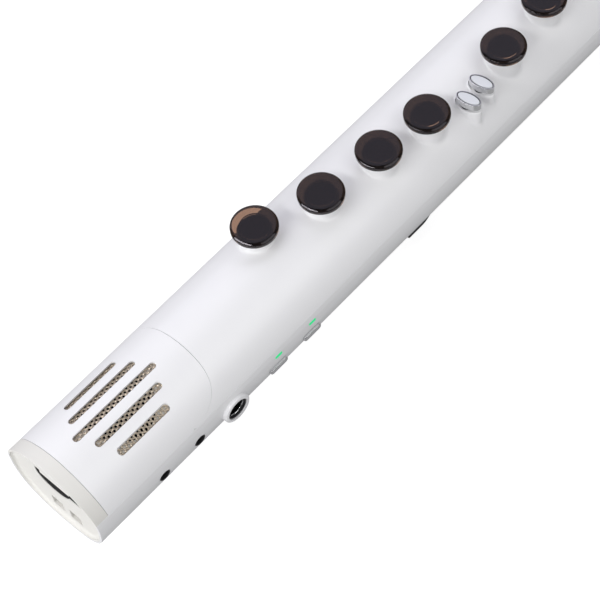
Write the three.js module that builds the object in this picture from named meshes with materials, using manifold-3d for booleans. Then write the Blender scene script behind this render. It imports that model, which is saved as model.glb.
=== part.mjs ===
import * as THREE from 'three';
import { mergeVertices } from 'three/addons/utils/BufferGeometryUtils.js';
import Module from 'manifold-3d';

const wasm = await Module();
wasm.setup();

// A straight electronic wind instrument lying keys up, in millimetres.
// X runs from the bell to the mouthpiece, Z points up through the finger keys, -Y is the socket side.
// The origin is at the middle of the length, on the surface that the thumb hook stands on.
// Distances named "along" are measured from the bell rim, and "across" from the centre line.
// Drops are measured down from the top line of the body.

// Fits between pieces
const seam = 0.3;
const overrun = 2;

// Body section
const halfWidth = 20.4;
const archHeight = 16.1;
const bellyDepth = 20.4;
const creaseDrop = 13;
const shellWall = 2;
const archExponent = 1.79;
const bellyExponent = 2.56;
const archSteps = 14;
const bellySteps = 12;
const wideSides = 20;
const plainSides = 14;
const fineSides = 8;

// Distances from the bell rim along the finger keys to the neck
const bellToPinky = 103.1;
const pinkyToRing = 23.3;
const ringToMiddle = 24.8;
const middleToIndex = 21.4;
const indexToLeftRing = 38.2;
const leftRingToMiddle = 25.2;
const leftMiddleToIndex = 25;
const leftIndexToNeck = 185;

// Bell cover
const coverWall = 1.2;
const capStrip = 4.9;
const partingAlong = 58.5;
const partingSweep = 15;
const partingSteps = 7;

// Bell end cap
const rimWall = 0.8;
const capRecess = 1.1;
const capPlate = 2;
const soundMouthHalfWidth = 8;
const soundMouthTopDrop = 9;
const soundMouthSideDrop = 12;
const soundMouthBowl = 3.9;
const soundMouthSteps = 10;
const capLipDrop = 5;
const capLipSocketSide = 9.8;
const capLipFarSide = 2.9;
const capPocketLength = 4.6;
const capPocketHeight = 3.6;
const capPocketDepth = 1;
const capPocketDrop = 29.2;
const capPocketAcross = 2.2;
const capPocketPitch = 8;

// Grille slots, the perforated sheet and the loudspeaker
const slotCount = 5;
const slotPitch = 5.9;
const slotWidth = 2.5;
const slotToGrille = 6.5;
const slotLengthShares = [0.62, 0.8, 1, 0.8, 0.62];
const grilleThickness = 0.8;
const grilleToBaffle = 2;
const grilleHalfWidth = 14.4;
const capToBaffle = 5.5;
const baffleLength = 44;
const baffleWall = 1.5;
const baffleDrop = 10.2;
const speakerRimWidth = 2.2;
const speakerRim = 1.2;
const speakerBowlDepth = 3.8;
const speakerWall = 0.9;
const coneRadius = 12.4;
const coneThroat = 4.6;
const coneThickness = 0.7;
const magnetRadius = 7;
const magnetHeight = 3;

// Finger keys
const discRadius = 8;
const discThickness = 2.4;
const discRise = 6.7;
const discSocketDepth = 0.7;
const keyTravel = 1.2;
const collarRadius = 6.1;
const collarGap = 1.5;
const stemRadius = 4.85;
const stemFlange = 0.75;
const stemFlangeThickness = 1.2;
const stemTipRadius = 2;
const stemTipLength = 0.7;
const collarFootDrop = 8.9;
const rightPinkyAcross = 7.7;
const rightRingAcross = -0.2;
const rightMiddleAcross = -3.5;
const rightIndexAcross = -6.2;
const leftRingAcross = -8;
const leftMiddleAcross = -5.6;
const leftIndexAcross = -4;

// Oval little-finger keys
const ovalLength = 10.4;
const ovalWidth = 5.4;
const ovalTopShare = 0.8;
const ovalBase = 1.3;
const ovalRise = 2.9;
const ovalTurn = 8;
const ovalTravel = 1;
const ovalBossOverhang = 0.5;
const firstOvalAcross = -11.1;
const secondOvalAcross = -10;
const indexToOval = 15.4;
const ovalPitch = 8.25;
const smallStemRadius = 2;
const barbOverhang = 0.6;
const barbThickness = 0.9;

// Function buttons on the upper front
const functionRadius = 3.7;
const functionRise = 1.4;
const functionTravel = 0.5;
const leftIndexToFunction = 51;
const functionPitch = 16;

// Circuit boards and the switch membrane
const boardThickness = 1.6;
const boardDrop = 14.3;
const boardSideGap = 1.4;
const jackToBoard = 7.4;
const boardToNeck = 8;
const membraneSheet = 0.8;
const membraneMargin = 10;
const domeRadius = 4.2;
const domeTopRadius = 2.6;
const domeWall = 0.6;
const switchSide = 6;
const chipCount = 3;
const chipLengthShare = 0.5;
const chipWidth = 10;
const chipHeight = 1.4;

// Sockets on the side
const socketDrop = 21.6;
const bellToLineJack = 28.2;
const miniJackPitch = 16;
const phonesToOutput = 6.2;
const miniHoleRadius = 2.3;
const miniBoreRadius = 1.75;
const miniBodyWidth = 6.4;
const miniBodyHeight = 6;
const outputCollarRadius = 5.5;
const outputCollarProud = 1.4;
const outputBushRadius = 4.2;
const outputBoreRadius = 3.2;
const outputBodyWidth = 13;
const outputBodyDepth = 25;
const outputBodyHeight = 12;
const outputBackWall = 2;
const jackBoardMargin = 5.8;
const jackBoardWidth = 13;
const jackPostRadius = 2;
const leftIndexToUsb = 39;
const usbWidth = 9;
const usbHeight = 3.2;
const usbDepth = 7.4;
const usbWall = 0.4;

// Side buttons and their indicator lamps
const outputToSideButton = 20.6;
const sideButtonPitch = 16.2;
const sideButtonDrop = 22.6;
const sideButtonLength = 8;
const sideButtonHeight = 2.4;
const sideButtonProud = 0.6;
const sideButtonTravel = 0.6;
const sideButtonLip = 0.8;
const sideButtonLipThickness = 0.9;
const lampDrop = 17;
const lampShift = 0.7;
const lampLength = 3.2;
const lampHeight = 1.3;
const lampProud = 0.15;
const sideBoardMargin = 6;
const sideBoardHeight = 11;
const sideSwitchDepth = 2.4;

// Thumb side
const ringToOctave = 8;
const octavePitch = 26;
const octaveLength = 14;
const octaveWidth = 9;
const octaveProud = 2.6;
const octaveTravel = 1;
const octaveStemRadius = 3;
const octaveSwitchHeight = 3;
const octaveBoardMargin = 7;
const octaveBoardHalfWidth = 7;
const octavePostRadius = 2.2;
const padRise = 0.5;
const middleToHook = 8.8;
const hookPlateLength = 26;
const hookWidth = 18;
const hookPlate = 2;
const hookArm = 3;
const hookReach = 15;
const hookCurl = 7;
const hookTip = 11;
const hookSteps = 6;
const leftRingToStrap = 15.2;
const ringPlateLength = 22;
const ringPlateWidth = 12;
const ringPlate = 2;
const ringWire = 3;
const ringLift = 0.2;

// Screws
const screwRadius = 1.1;
const screwHeadRadius = 2.2;
const screwHeadHeight = 1.6;
const screwClearance = 0.35;
const shellScrewDepthShare = 0.68;
const shellScrewTop = 6;
const octaveToScrew = 2;
const neckToScrew = 16;
const postWall = 1.2;
const plateScrewLength = 4.5;
const plateBossRadius = 3;
const plateBossHeight = 4;
const driveSlotWidth = 0.7;
const driveSlotDepth = 0.8;

// Battery
const cellLengthShare = 0.48;
const cradleThickness = 2;
const cradleHalfWidth = 11;
const cradleHeight = 9;

// Neck, receiver and breath path
const neckLength = 34;
const neckEndRadius = 12.6;
const neckRings = 6;
const neckInset = 0.45;
const neckLip = 5;
const receiverRadius = 7.6;
const receiverBore = 4.2;
const receiverLength = 24;
const receiverFlange = 2;
const receiverFlangeRadius = 10;
const ringGrooveDepth = 1.1;
const ringGrooveWidth = 1.5;
const ringGrooveShare = 0.55;
const sensorLength = 10;
const sensorWidth = 8;
const sensorHeight = 5;
const sensorPortRadius = 1.3;
const sensorPortLength = 3;
const hoseRadius = 2.6;
const hoseBore = 1.6;
const hoseSteps = 8;
const hoseSides = 8;

// Mouthpiece, reed and ligature
const shankRadius = 12;
const shankRim = 0.7;
const shankRimLength = 7;
const mouthpieceTipRadius = 9.2;
const mouthpieceLength = 93.4;
const mouthpieceBore = 5.4;
const mouthpieceTravel = 34;
const beakShare = 0.48;
const tipThickness = 2.2;
const tableDrop = 7.6;
const tableStartShare = 0.24;
const windowStartShare = 0.6;
const boreEndShare = 0.62;
const beakWall = 2.5;
const windowWidth = 10.5;
const windowEnd = 3;
const reedWidth = 13;
const reedHeel = 2.4;
const reedTip = 0.5;
const reedScrapeShare = 0.45;
const ligatureShare = 0.33;
const ligatureLength = 16;
const ligatureThickness = 0.9;
const ligaturePadWidth = 9;

// Heights and places worked out from the sizes above
const rightPinkyAlong = bellToPinky;
const rightRingAlong = rightPinkyAlong + pinkyToRing;
const rightMiddleAlong = rightRingAlong + ringToMiddle;
const rightIndexAlong = rightMiddleAlong + middleToIndex;
const leftRingAlong = rightIndexAlong + indexToLeftRing;
const leftMiddleAlong = leftRingAlong + leftRingToMiddle;
const leftIndexAlong = leftMiddleAlong + leftMiddleToIndex;
const bodyLength = leftIndexAlong + leftIndexToNeck;
const overallLength = bodyLength + neckLength + mouthpieceLength + 2 * seam;
const bellX = -overallLength / 2;
const backZ = hookReach;
const widestZ = backZ + bellyDepth;
const topZ = widestZ + archHeight;
const creaseZ = topZ - creaseDrop;
const boardTopZ = topZ - boardDrop;
const boardBottomZ = boardTopZ - boardThickness;
const floorInsideZ = backZ + shellWall;
const collarTopZ = topZ + discRise - discThickness - collarGap;
const collarFootZ = topZ - collarFootDrop;
const flangeTopZ = collarFootZ - seam;
const stemFootZ = flangeTopZ - stemFlangeThickness - stemTipLength;
const smallStemFootZ = flangeTopZ - barbThickness;
const socketZ = topZ - socketDrop;
const padZ = backZ - padRise;

const speakerRadius = coneRadius + speakerRimWidth;
const slotCentreAlong = capRecess + capPlate + capToBaffle + baffleLength / 2;
const grilleLength = baffleLength - grilleToBaffle;
const slotLength = grilleLength - slotToGrille;
const lineJackAlong = bellToLineJack;
const phonesJackAlong = lineJackAlong + miniJackPitch;
const outputJackAlong = phonesJackAlong + phonesToOutput + (miniBodyWidth + outputBodyWidth) / 2;
const boardHalfWidth = halfWidth - shellWall - boardSideGap;
const boardStartAlong = outputJackAlong + outputBodyWidth / 2 + jackToBoard;
const boardEndAlong = bodyLength - boardToNeck;
const hookAlong = rightMiddleAlong + middleToHook;
const ringAlong = leftRingAlong + leftRingToStrap;
const ringBore = hookReach - padRise - seam - ringPlate - ringWire - ringLift;
const usbAlong = leftIndexAlong + leftIndexToUsb;

const at = (along) => bellX + along;

const keyPlaces = [
    { along: rightPinkyAlong, across: rightPinkyAcross },
    { along: rightRingAlong, across: rightRingAcross },
    { along: rightMiddleAlong, across: rightMiddleAcross },
    { along: rightIndexAlong, across: rightIndexAcross },
    { along: leftRingAlong, across: leftRingAcross },
    { along: leftMiddleAlong, across: leftMiddleAcross },
    { along: leftIndexAlong, across: leftIndexAcross },
];
const pairFrom = (first, pitch) => [first, first + pitch];
const firstOvalAlong = rightIndexAlong + indexToOval;
const ovalPlaces = [
    { along: firstOvalAlong, across: firstOvalAcross },
    { along: firstOvalAlong + ovalPitch, across: secondOvalAcross },
];
const functionAlongs = pairFrom(leftIndexAlong + leftIndexToFunction, functionPitch);
const sideButtonAlongs = pairFrom(outputJackAlong + outputToSideButton, sideButtonPitch);
const firstOctaveAlong = ringAlong + ringPlateLength / 2 + ringToOctave + octaveLength / 2;
const octaveAlongs = pairFrom(firstOctaveAlong, octavePitch);

// The casing screws stand between the keys, past the octave board and before the neck.
const screwPostRadius = screwHeadRadius + screwClearance + postWall;
const screwAlongs = [
    (rightPinkyAlong + rightRingAlong) / 2,
    (rightIndexAlong + leftRingAlong) / 2,
    octaveAlongs[1] + octaveBoardMargin + octaveToScrew + screwPostRadius,
    bodyLength - neckToScrew,
];
const cellLength = (screwAlongs[3] - screwAlongs[2]) * cellLengthShare;
const cellAlong = (screwAlongs[3] + screwAlongs[2]) / 2;
const cellRadius = (boardBottomZ - floorInsideZ - 3 * seam) / 2;

// Shapes and solids

// Signed volume of an indexed triangle list, used to turn every face outwards.
function signedVolume(positions, triangles) {
    const a = new THREE.Vector3();
    const b = new THREE.Vector3();
    const c = new THREE.Vector3();
    let volume = 0;
    for (let i = 0; i < triangles.length; i += 3) {
        a.fromArray(positions, triangles[i] * 3);
        b.fromArray(positions, triangles[i + 1] * 3);
        c.fromArray(positions, triangles[i + 2] * 3);
        volume += a.dot(b.cross(c)) / 6;
    }
    return volume;
}

function solid(geometry) {
    const bare = geometry.clone();
    bare.deleteAttribute('normal');
    bare.deleteAttribute('uv');
    const merged = mergeVertices(bare);
    const positions = merged.attributes.position.array;
    const index = merged.index.array;
    const triangles = [];
    for (let i = 0; i < index.length; i += 3) {
        const [a, b, c] = [index[i], index[i + 1], index[i + 2]];
        if (a !== b && b !== c && c !== a) {
            triangles.push(a, b, c);
        }
    }
    if (signedVolume(positions, triangles) < 0) {
        triangles.reverse();
    }
    return new wasm.Manifold(new wasm.Mesh({
        numProp: 3,
        vertProperties: new Float32Array(positions),
        triVerts: new Uint32Array(triangles),
    }));
}

function cut(body, tools) {
    return tools.reduce((rest, tool) => rest.subtract(tool), body);
}

function join(first, others) {
    return others.reduce((whole, other) => whole.add(other), first);
}

function shapeOf(points) {
    return new THREE.Shape(points.map(([u, v]) => new THREE.Vector2(u, v)));
}

function prism(shape, depth) {
    return new THREE.ExtrudeGeometry(shape, { depth, bevelEnabled: false, curveSegments: 6 });
}

// A (y, z) outline drawn out along X.
function alongX(points, start, end) {
    const basis = new THREE.Matrix4().makeBasis(
        new THREE.Vector3(0, 1, 0),
        new THREE.Vector3(0, 0, 1),
        new THREE.Vector3(1, 0, 0),
    );
    return solid(prism(shapeOf(points), end - start).applyMatrix4(basis).translate(start, 0, 0));
}

// An (x, z) outline drawn out along Y.
function alongY(points, start, end) {
    const turned = prism(shapeOf(points), end - start).rotateX(Math.PI / 2);
    return solid(turned.translate(0, end, 0));
}

// An (x, y) outline drawn out along Z.
function alongZ(points, start, end) {
    return solid(prism(shapeOf(points), end - start).translate(0, 0, start));
}

function block(x, y, z) {
    const geometry = new THREE.BoxGeometry(x[1] - x[0], y[1] - y[0], z[1] - z[0]);
    geometry.translate((x[0] + x[1]) / 2, (y[0] + y[1]) / 2, (z[0] + z[1]) / 2);
    return solid(geometry);
}

// A turned piece: the profile is [radius, distance along the axis], from one end to the other.
function turned(profile, direction, origin, sides) {
    const points = profile.map(([radius, distance]) => new THREE.Vector2(radius, distance));
    const geometry = new THREE.LatheGeometry(points, sides);
    geometry.applyQuaternion(new THREE.Quaternion().setFromUnitVectors(
        new THREE.Vector3(0, 1, 0),
        new THREE.Vector3(...direction),
    ));
    return solid(geometry.translate(...origin));
}

const UP = [0, 0, 1];
const TO_MOUTH = [1, 0, 0];
const INWARD = [0, 1, 0];

function rod(radius, start, end, x, y, sides = plainSides) {
    return turned([[0, start], [radius, start], [radius, end], [0, end]], UP, [x, y, 0], sides);
}

// A hole that a screw's shank passes through with room to spare.
function screwHole(start, end, x) {
    return rod(screwRadius + screwClearance, start, end, x, 0, fineSides);
}

function rodY(radius, start, end, x, z, sides = plainSides) {
    return turned([[0, start], [radius, start], [radius, end], [0, end]], INWARD, [x, 0, z], sides);
}

// A closed outline of a rounded bar, centred at (u, v), with its long side along u.
function barOutline(u, v, length, height, steps = 4) {
    const radius = height / 2;
    const reach = length / 2 - radius;
    const points = [];
    for (const side of [1, -1]) {
        for (let i = 0; i <= steps; i += 1) {
            const angle = -Math.PI / 2 + (Math.PI * i) / steps;
            const out = reach + radius * Math.cos(angle);
            points.push([u + side * out, v + side * radius * Math.sin(angle)]);
        }
    }
    return points;
}

function ovalOutline(x, y, length, width, turnDegrees, steps = 18) {
    const turn = THREE.MathUtils.degToRad(turnDegrees);
    return Array.from({ length: steps }, (_, i) => {
        const angle = (2 * Math.PI * i) / steps;
        const u = (width / 2) * Math.cos(angle);
        const v = (length / 2) * Math.sin(angle);
        return [
            x + u * Math.cos(turn) - v * Math.sin(turn),
            y + u * Math.sin(turn) + v * Math.cos(turn),
        ];
    });
}

const signedPower = (value, power) => Math.sign(value) * Math.abs(value) ** power;

// Half outlines of the body, from the +Y side to the -Y side, in (y, z).
function archCurve(inset, floorZ, steps = archSteps) {
    const width = halfWidth - inset;
    const height = archHeight - inset;
    const lift = Math.max(floorZ - widestZ, 0) / height;
    const first = Math.asin(lift ** (archExponent / 2));
    return Array.from({ length: steps + 1 }, (_, i) => {
        const angle = first + ((Math.PI - 2 * first) * i) / steps;
        return [
            width * signedPower(Math.cos(angle), 2 / archExponent),
            widestZ + height * signedPower(Math.sin(angle), 2 / archExponent),
        ];
    });
}

function bellyCurve(inset, steps = bellySteps) {
    const width = halfWidth - inset;
    const depth = bellyDepth - inset;
    return Array.from({ length: steps + 1 }, (_, i) => {
        const angle = (Math.PI * i) / steps;
        return [
            width * signedPower(Math.cos(angle), 2 / bellyExponent),
            widestZ - depth * signedPower(Math.sin(angle), 2 / bellyExponent),
        ];
    });
}

// Height of the arch above a place across the body, for a surface that lies inset from the outside.
function archZ(across, inset) {
    const share = (Math.abs(across) / (halfWidth - inset)) ** archExponent;
    return widestZ + (archHeight - inset) * (1 - share) ** (1 / archExponent);
}

// Half width of the lower half at a height, for a surface that lies inset from the outside.
function bellyReach(z, inset) {
    const share = (Math.max(widestZ - z, 0) / (bellyDepth - inset)) ** bellyExponent;
    return (halfWidth - inset) * (1 - share) ** (1 / bellyExponent);
}

// Where a flat face can stand against the inside of the socket side, down to a height.
const wallFace = (z) => 2 * seam - bellyReach(z, shellWall);

function archShell(outerInset, innerInset, floorZ, start, end) {
    const outer = archCurve(outerInset, floorZ);
    const inner = archCurve(innerInset, floorZ).reverse();
    return alongX([...outer, ...inner], start, end);
}

// Region on the bell side of the parting line, seen from the side, set back by a gap.
function partingTool(gap) {
    const points = [[bellX - overrun, topZ + overrun], [bellX - overrun, creaseZ - seam - overrun]];
    const sweepDepth = creaseDrop - seam / 2;
    points.push([at(partingAlong - partingSweep) - gap, creaseZ - seam - overrun]);
    for (let i = 0; i <= partingSteps; i += 1) {
        const angle = (Math.PI / 2) * (1 - i / partingSteps);
        points.push([
            at(partingAlong) - gap - partingSweep * (1 - Math.cos(angle)),
            topZ - sweepDepth * Math.sin(angle),
        ]);
    }
    points.push([at(partingAlong) - gap, topZ + overrun]);
    return alongY(points, -halfWidth - overrun, halfWidth + overrun);
}

// Casing

function lowerShell() {
    const edgeZ = creaseZ - seam;
    const outer = [[halfWidth, edgeZ], ...bellyCurve(0), [-halfWidth, edgeZ]];
    const innerWidth = halfWidth - shellWall;
    const inner = [[innerWidth, edgeZ], ...bellyCurve(shellWall), [-innerWidth, edgeZ]];
    const channel = alongX([...outer, ...inner.reverse()], bellX, at(bodyLength));
    const additions = [];

    // Step inside the rim that the end cap's plate rests against
    const stepDepth = capRecess + capPlate + seam;
    const cuts = [alongX(capOutline(rimWall, edgeZ + overrun), bellX - overrun, bellX + stepDepth)];

    // Flat seats for the thumb hook and the strap ring, with bosses for their screws inside
    for (const [along, length, width] of [
        [hookAlong, hookPlateLength, hookWidth],
        [ringAlong, ringPlateLength, ringPlateWidth],
    ]) {
        const reach = [at(along) - length / 2, at(along) + length / 2];
        additions.push(block(reach, [-width / 2, width / 2], [padZ, floorInsideZ]));
    }
    for (const x of plateScrewPlaces()) {
        additions.push(rod(plateBossRadius, backZ, floorInsideZ + plateBossHeight, x, 0));
        cuts.push(screwHole(padZ - overrun, plateScrewTopZ() + seam, x));
    }

    // Hollow posts for the casing screws, open at the back
    const headZ = backZ + shellScrewDepth();
    for (const along of screwAlongs) {
        const bore = screwHeadRadius + screwClearance;
        additions.push(rod(screwPostRadius, backZ + shellWall / 2, boardBottomZ - seam, at(along), 0));
        cuts.push(rod(bore, backZ - overrun, headZ, at(along), 0));
        cuts.push(screwHole(headZ - overrun, boardBottomZ, at(along)));
    }

    // Cradle ribs under the battery
    for (const end of [-1, 1]) {
        const x = at(cellAlong) + (end * cellLength) / 4;
        const reach = [x - cradleThickness / 2, x + cradleThickness / 2];
        const width = [-cradleHalfWidth, cradleHalfWidth];
        additions.push(block(reach, width, [backZ + shellWall / 2, cradleTopZ()]));
    }
    cuts.push(turned(
        [[0, 0], [cellRadius + seam, 0], [cellRadius + seam, cellLength], [0, cellLength]],
        TO_MOUTH,
        [at(cellAlong) - cellLength / 2, 0, cellZ()],
        plainSides,
    ));

    // Posts under the jack board and the octave board
    const jackY = jackBoardMiddle();
    for (const x of jackPostPlaces()) {
        additions.push(rod(jackPostRadius, floorUnder(jackY), jackBoardZ() - seam, x, jackY));
    }
    for (const x of octavePostPlaces()) {
        additions.push(rod(octavePostRadius, backZ + shellWall / 2, octaveBoardZ() - seam, x, 0));
    }

    // Raised collar of the output socket, and the openings of the socket side
    const collarFace = -halfWidth - outputCollarProud;
    const wallInside = -halfWidth + shellWall;
    const hollowFace = wallInside + overrun;
    const outputX = at(outputJackAlong);
    additions.push(rodY(outputCollarRadius, collarFace, wallInside, outputX, socketZ));
    cuts.push(rodY(outputBushRadius + seam, collarFace - overrun, hollowFace, outputX, socketZ));
    for (const along of [lineJackAlong, phonesJackAlong]) {
        cuts.push(rodY(miniHoleRadius, collarFace, hollowFace, at(along), socketZ));
    }
    const usbHole = [usbWidth + 2 * seam, usbHeight + 2 * seam];
    cuts.push(alongY(barOutline(at(usbAlong), usbZ(), ...usbHole), collarFace, hollowFace));
    for (const along of sideButtonAlongs) {
        const buttonHole = [sideButtonLength + 2 * seam, sideButtonHeight + 2 * seam];
        const lampHole = [lampLength + 2 * seam, lampHeight + 2 * seam];
        cuts.push(alongY(barOutline(at(along), sideButtonZ, ...buttonHole), collarFace, hollowFace));
        const lampX = at(along + lampShift);
        cuts.push(alongY(barOutline(lampX, topZ - lampDrop, ...lampHole), collarFace, hollowFace));
    }

    // Holes for the octave keys
    for (const along of octaveAlongs) {
        cuts.push(rod(octaveStemRadius + seam, backZ - overrun, floorInsideZ + overrun, at(along), 0));
    }
    return cut(join(channel, additions), cuts);
}

function upperShell() {
    const start = at(partingAlong - partingSweep) + seam;
    const arch = archShell(0, shellWall, creaseZ, start, at(bodyLength));
    const additions = [];
    const cuts = [partingTool(0)];
    const stemHole = [collarFootZ - overrun, topZ + overrun];
    for (const { along, across } of keyPlaces) {
        additions.push(rod(collarRadius, collarFootZ, collarTopZ, at(along), across, wideSides));
        const hole = [collarFootZ - overrun, collarTopZ + overrun];
        cuts.push(rod(stemRadius + seam, ...hole, at(along), across));
    }
    for (const { along, across } of ovalPlaces) {
        const [length, width] = [ovalLength + 2 * ovalBossOverhang, ovalWidth + 2 * ovalBossOverhang];
        const outline = ovalOutline(at(along), across, length, width, ovalTurn);
        additions.push(alongZ(outline, collarFootZ, ovalBossTopZ()));
        cuts.push(rod(smallStemRadius + seam, ...stemHole, at(along), across));
    }
    for (const along of functionAlongs) {
        const guideRadius = smallStemRadius + barbOverhang + postWall;
        additions.push(rod(guideRadius, collarFootZ, topZ - shellWall / 2, at(along), 0));
        cuts.push(rod(smallStemRadius + seam, ...stemHole, at(along), 0));
        cuts.push(rod(functionRadius + seam, topZ - functionSink(), topZ + overrun, at(along), 0));
    }
    for (const along of screwAlongs) {
        additions.push(rod(screwBossRadius(), screwBossFootZ(), topZ - shellWall / 2, at(along), 0));
        cuts.push(screwHole(screwBossFootZ() - overrun, shellScrewTopZ() + seam, at(along)));
    }
    return cut(join(arch, additions), cuts);
}

function bellCover() {
    const arch = archShell(0, coverWall, creaseZ, at(capStrip) + seam, at(partingAlong));
    const slots = slotLengthShares.slice(0, slotCount).map((share, i) => {
        const across = (i - (slotCount - 1) / 2) * slotPitch;
        const outline = barOutline(at(slotCentreAlong), across, slotLength * share, slotWidth, 5);
        return alongZ(outline, widestZ, topZ + overrun);
    });
    return cut(arch.intersect(partingTool(seam)), slots);
}

// Lower half of the end plate's outline, with straight sides up to a height.
function capOutline(inset, sideTopZ) {
    const side = halfWidth - inset;
    return [[-side, sideTopZ], ...bellyCurve(inset).reverse(), [side, sideTopZ]];
}

function bellEndCap() {
    const strip = archShell(0, rimWall, creaseZ, bellX, at(capStrip));
    const outline = [...archCurve(rimWall / 2, creaseZ), ...capOutline(rimWall + seam, creaseZ)];
    const plate = alongX(outline, bellX + capRecess, bellX + capRecess + capPlate);

    // Straight lip that stands forward over the mouth, up to the strip
    const lipFoot = topZ - capLipDrop;
    const lipArea = block(
        [bellX, bellX + capRecess + capPlate],
        [-capLipSocketSide, capLipFarSide],
        [lipFoot, topZ + overrun],
    );
    const lip = alongX(outline, bellX, bellX + capRecess + capPlate).intersect(lipArea);

    // Rounded opening of the loudspeaker's mouth
    const mouthTop = topZ - soundMouthTopDrop;
    const mouthOutline = [[soundMouthHalfWidth, mouthTop], [-soundMouthHalfWidth, mouthTop]];
    for (let i = 0; i <= soundMouthSteps; i += 1) {
        const angle = Math.PI * (1 + i / soundMouthSteps);
        mouthOutline.push([
            soundMouthHalfWidth * Math.cos(angle),
            topZ - soundMouthSideDrop + soundMouthBowl * Math.sin(angle),
        ]);
    }
    const cuts = [alongX(mouthOutline, bellX, at(capStrip))];
    for (const i of [0, 1]) {
        const y = capPocketAcross - capPocketPitch * i;
        const z = topZ - capPocketDrop;
        cuts.push(block(
            [bellX, bellX + capRecess + capPocketDepth],
            [y - capPocketLength / 2, y + capPocketLength / 2],
            [z - capPocketHeight / 2, z + capPocketHeight / 2],
        ));
    }
    return join(strip, [cut(plate, cuts), lip]);
}

// Loudspeaker

function speakerGrille() {
    const inset = coverWall + seam;
    const reach = [at(slotCentreAlong) - grilleLength / 2, at(slotCentreAlong) + grilleLength / 2];
    return archShell(inset, inset + grilleThickness, archZ(grilleHalfWidth, inset), ...reach);
}

function speakerBaffle() {
    const inset = coverWall + grilleThickness + 2 * seam;
    const plateTopZ = topZ - baffleDrop;
    const start = at(slotCentreAlong) - baffleLength / 2;
    const end = start + baffleLength;
    const outer = alongX(archCurve(inset, plateTopZ - baffleWall), start, end);
    const hollow = alongX(
        [...archCurve(inset - overrun, plateTopZ)],
        start + baffleWall,
        end - baffleWall,
    );
    const portReach = [plateTopZ - overrun - baffleWall, plateTopZ + overrun];
    const port = rod(coneRadius, ...portReach, at(slotCentreAlong), 0, wideSides);
    return cut(outer, [hollow, port]);
}

const speakerTopZ = () => topZ - baffleDrop - baffleWall - seam;

function speakerBasket() {
    const foot = -speakerBowlDepth;
    const profile = [
        [coneRadius + seam, 0],
        [speakerRadius, 0],
        [speakerRadius, -speakerRim],
        [coneRadius + seam + speakerWall, -speakerRim],
        [magnetRadius, foot - speakerWall],
        [coneThroat, foot - speakerWall],
        [coneThroat, foot],
        [magnetRadius, foot],
        [coneRadius + seam, -speakerRim],
        [coneRadius + seam, 0],
    ];
    return turned(profile, UP, [at(slotCentreAlong), 0, speakerTopZ()], plainSides);
}

function speakerCone() {
    const foot = seam - speakerBowlDepth;
    const profile = [
        [0, foot + coneThickness],
        [coneThroat, foot + coneThickness],
        [coneRadius, 0],
        [coneRadius, -coneThickness],
        [coneThroat + coneThickness, foot],
        [0, foot],
    ];
    return turned(profile, UP, [at(slotCentreAlong), 0, speakerTopZ()], plainSides);
}

function speakerMagnet() {
    const top = speakerTopZ() - speakerBowlDepth - speakerWall - seam;
    return rod(magnetRadius, top - magnetHeight, top, at(slotCentreAlong), 0, plainSides);
}

// Finger keys

function keyDisc({ along, across }) {
    const edge = discThickness / 4;
    const socket = stemRadius + seam;
    const profile = [
        [0, discSocketDepth],
        [socket, discSocketDepth],
        [socket, 0],
        [discRadius - edge, 0],
        [discRadius, 2 * edge],
        [discRadius - edge, discThickness],
        [0, discThickness],
    ];
    return turned(profile, UP, [at(along), across, topZ + discRise - discThickness], wideSides);
}

function keyStem({ along, across }) {
    const top = topZ + discRise - discThickness + discSocketDepth - seam;
    const flangeFoot = flangeTopZ - stemFlangeThickness;
    const profile = [
        [0, stemFootZ],
        [stemTipRadius, stemFootZ],
        [stemTipRadius, flangeFoot],
        [stemRadius + stemFlange, flangeFoot],
        [stemRadius + stemFlange, flangeTopZ],
        [stemRadius, flangeTopZ],
        [stemRadius, top],
        [0, top],
    ];
    return turned(profile, UP, [at(along), across, 0], plainSides);
}

function keyMembrane() {
    const alongs = keyPlaces.map(({ along }) => at(along));
    const foot = boardTopZ + seam;
    const start = Math.min(...alongs) - membraneMargin;
    const end = Math.max(...alongs) + membraneMargin;
    const side = Math.max(...keyPlaces.map(({ across }) => Math.abs(across))) + domeRadius + postWall;
    const sheet = block([start, end], [-side, side], [foot, foot + membraneSheet]);
    const domeTopZ = stemFootZ - seam;
    const domes = [];
    const cuts = [];
    for (const { along, across } of keyPlaces) {
        domes.push(turned(
            [
                [0, foot],
                [domeRadius, foot],
                [domeRadius, foot + membraneSheet],
                [domeTopRadius, domeTopZ],
                [0, domeTopZ],
            ],
            UP,
            [at(along), across, 0],
            plainSides,
        ));
        const hollowTop = domeTopZ - domeWall;
        cuts.push(turned(
            [
                [0, foot - overrun],
                [domeTopRadius, foot - overrun],
                [domeTopRadius - domeWall, hollowTop],
                [0, hollowTop],
            ],
            UP,
            [at(along), across, 0],
            fineSides,
        ));
    }
    for (const along of screwAlongs) {
        cuts.push(screwHole(foot - overrun, topZ, at(along)));
    }
    const windowMargin = switchSide / 2 + seam;
    const [firstOval, secondOval] = ovalPlaces;
    cuts.push(block(
        [at(firstOval.along) - windowMargin, at(secondOval.along) + windowMargin],
        [-side - overrun, Math.max(firstOval.across, secondOval.across) + windowMargin],
        [foot - overrun, topZ],
    ));
    return cut(join(sheet, domes), cuts);
}

// Oval keys

const ovalBossTopZ = () => topZ + ovalRise - 2 * ovalBase - ovalTravel - seam;

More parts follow.
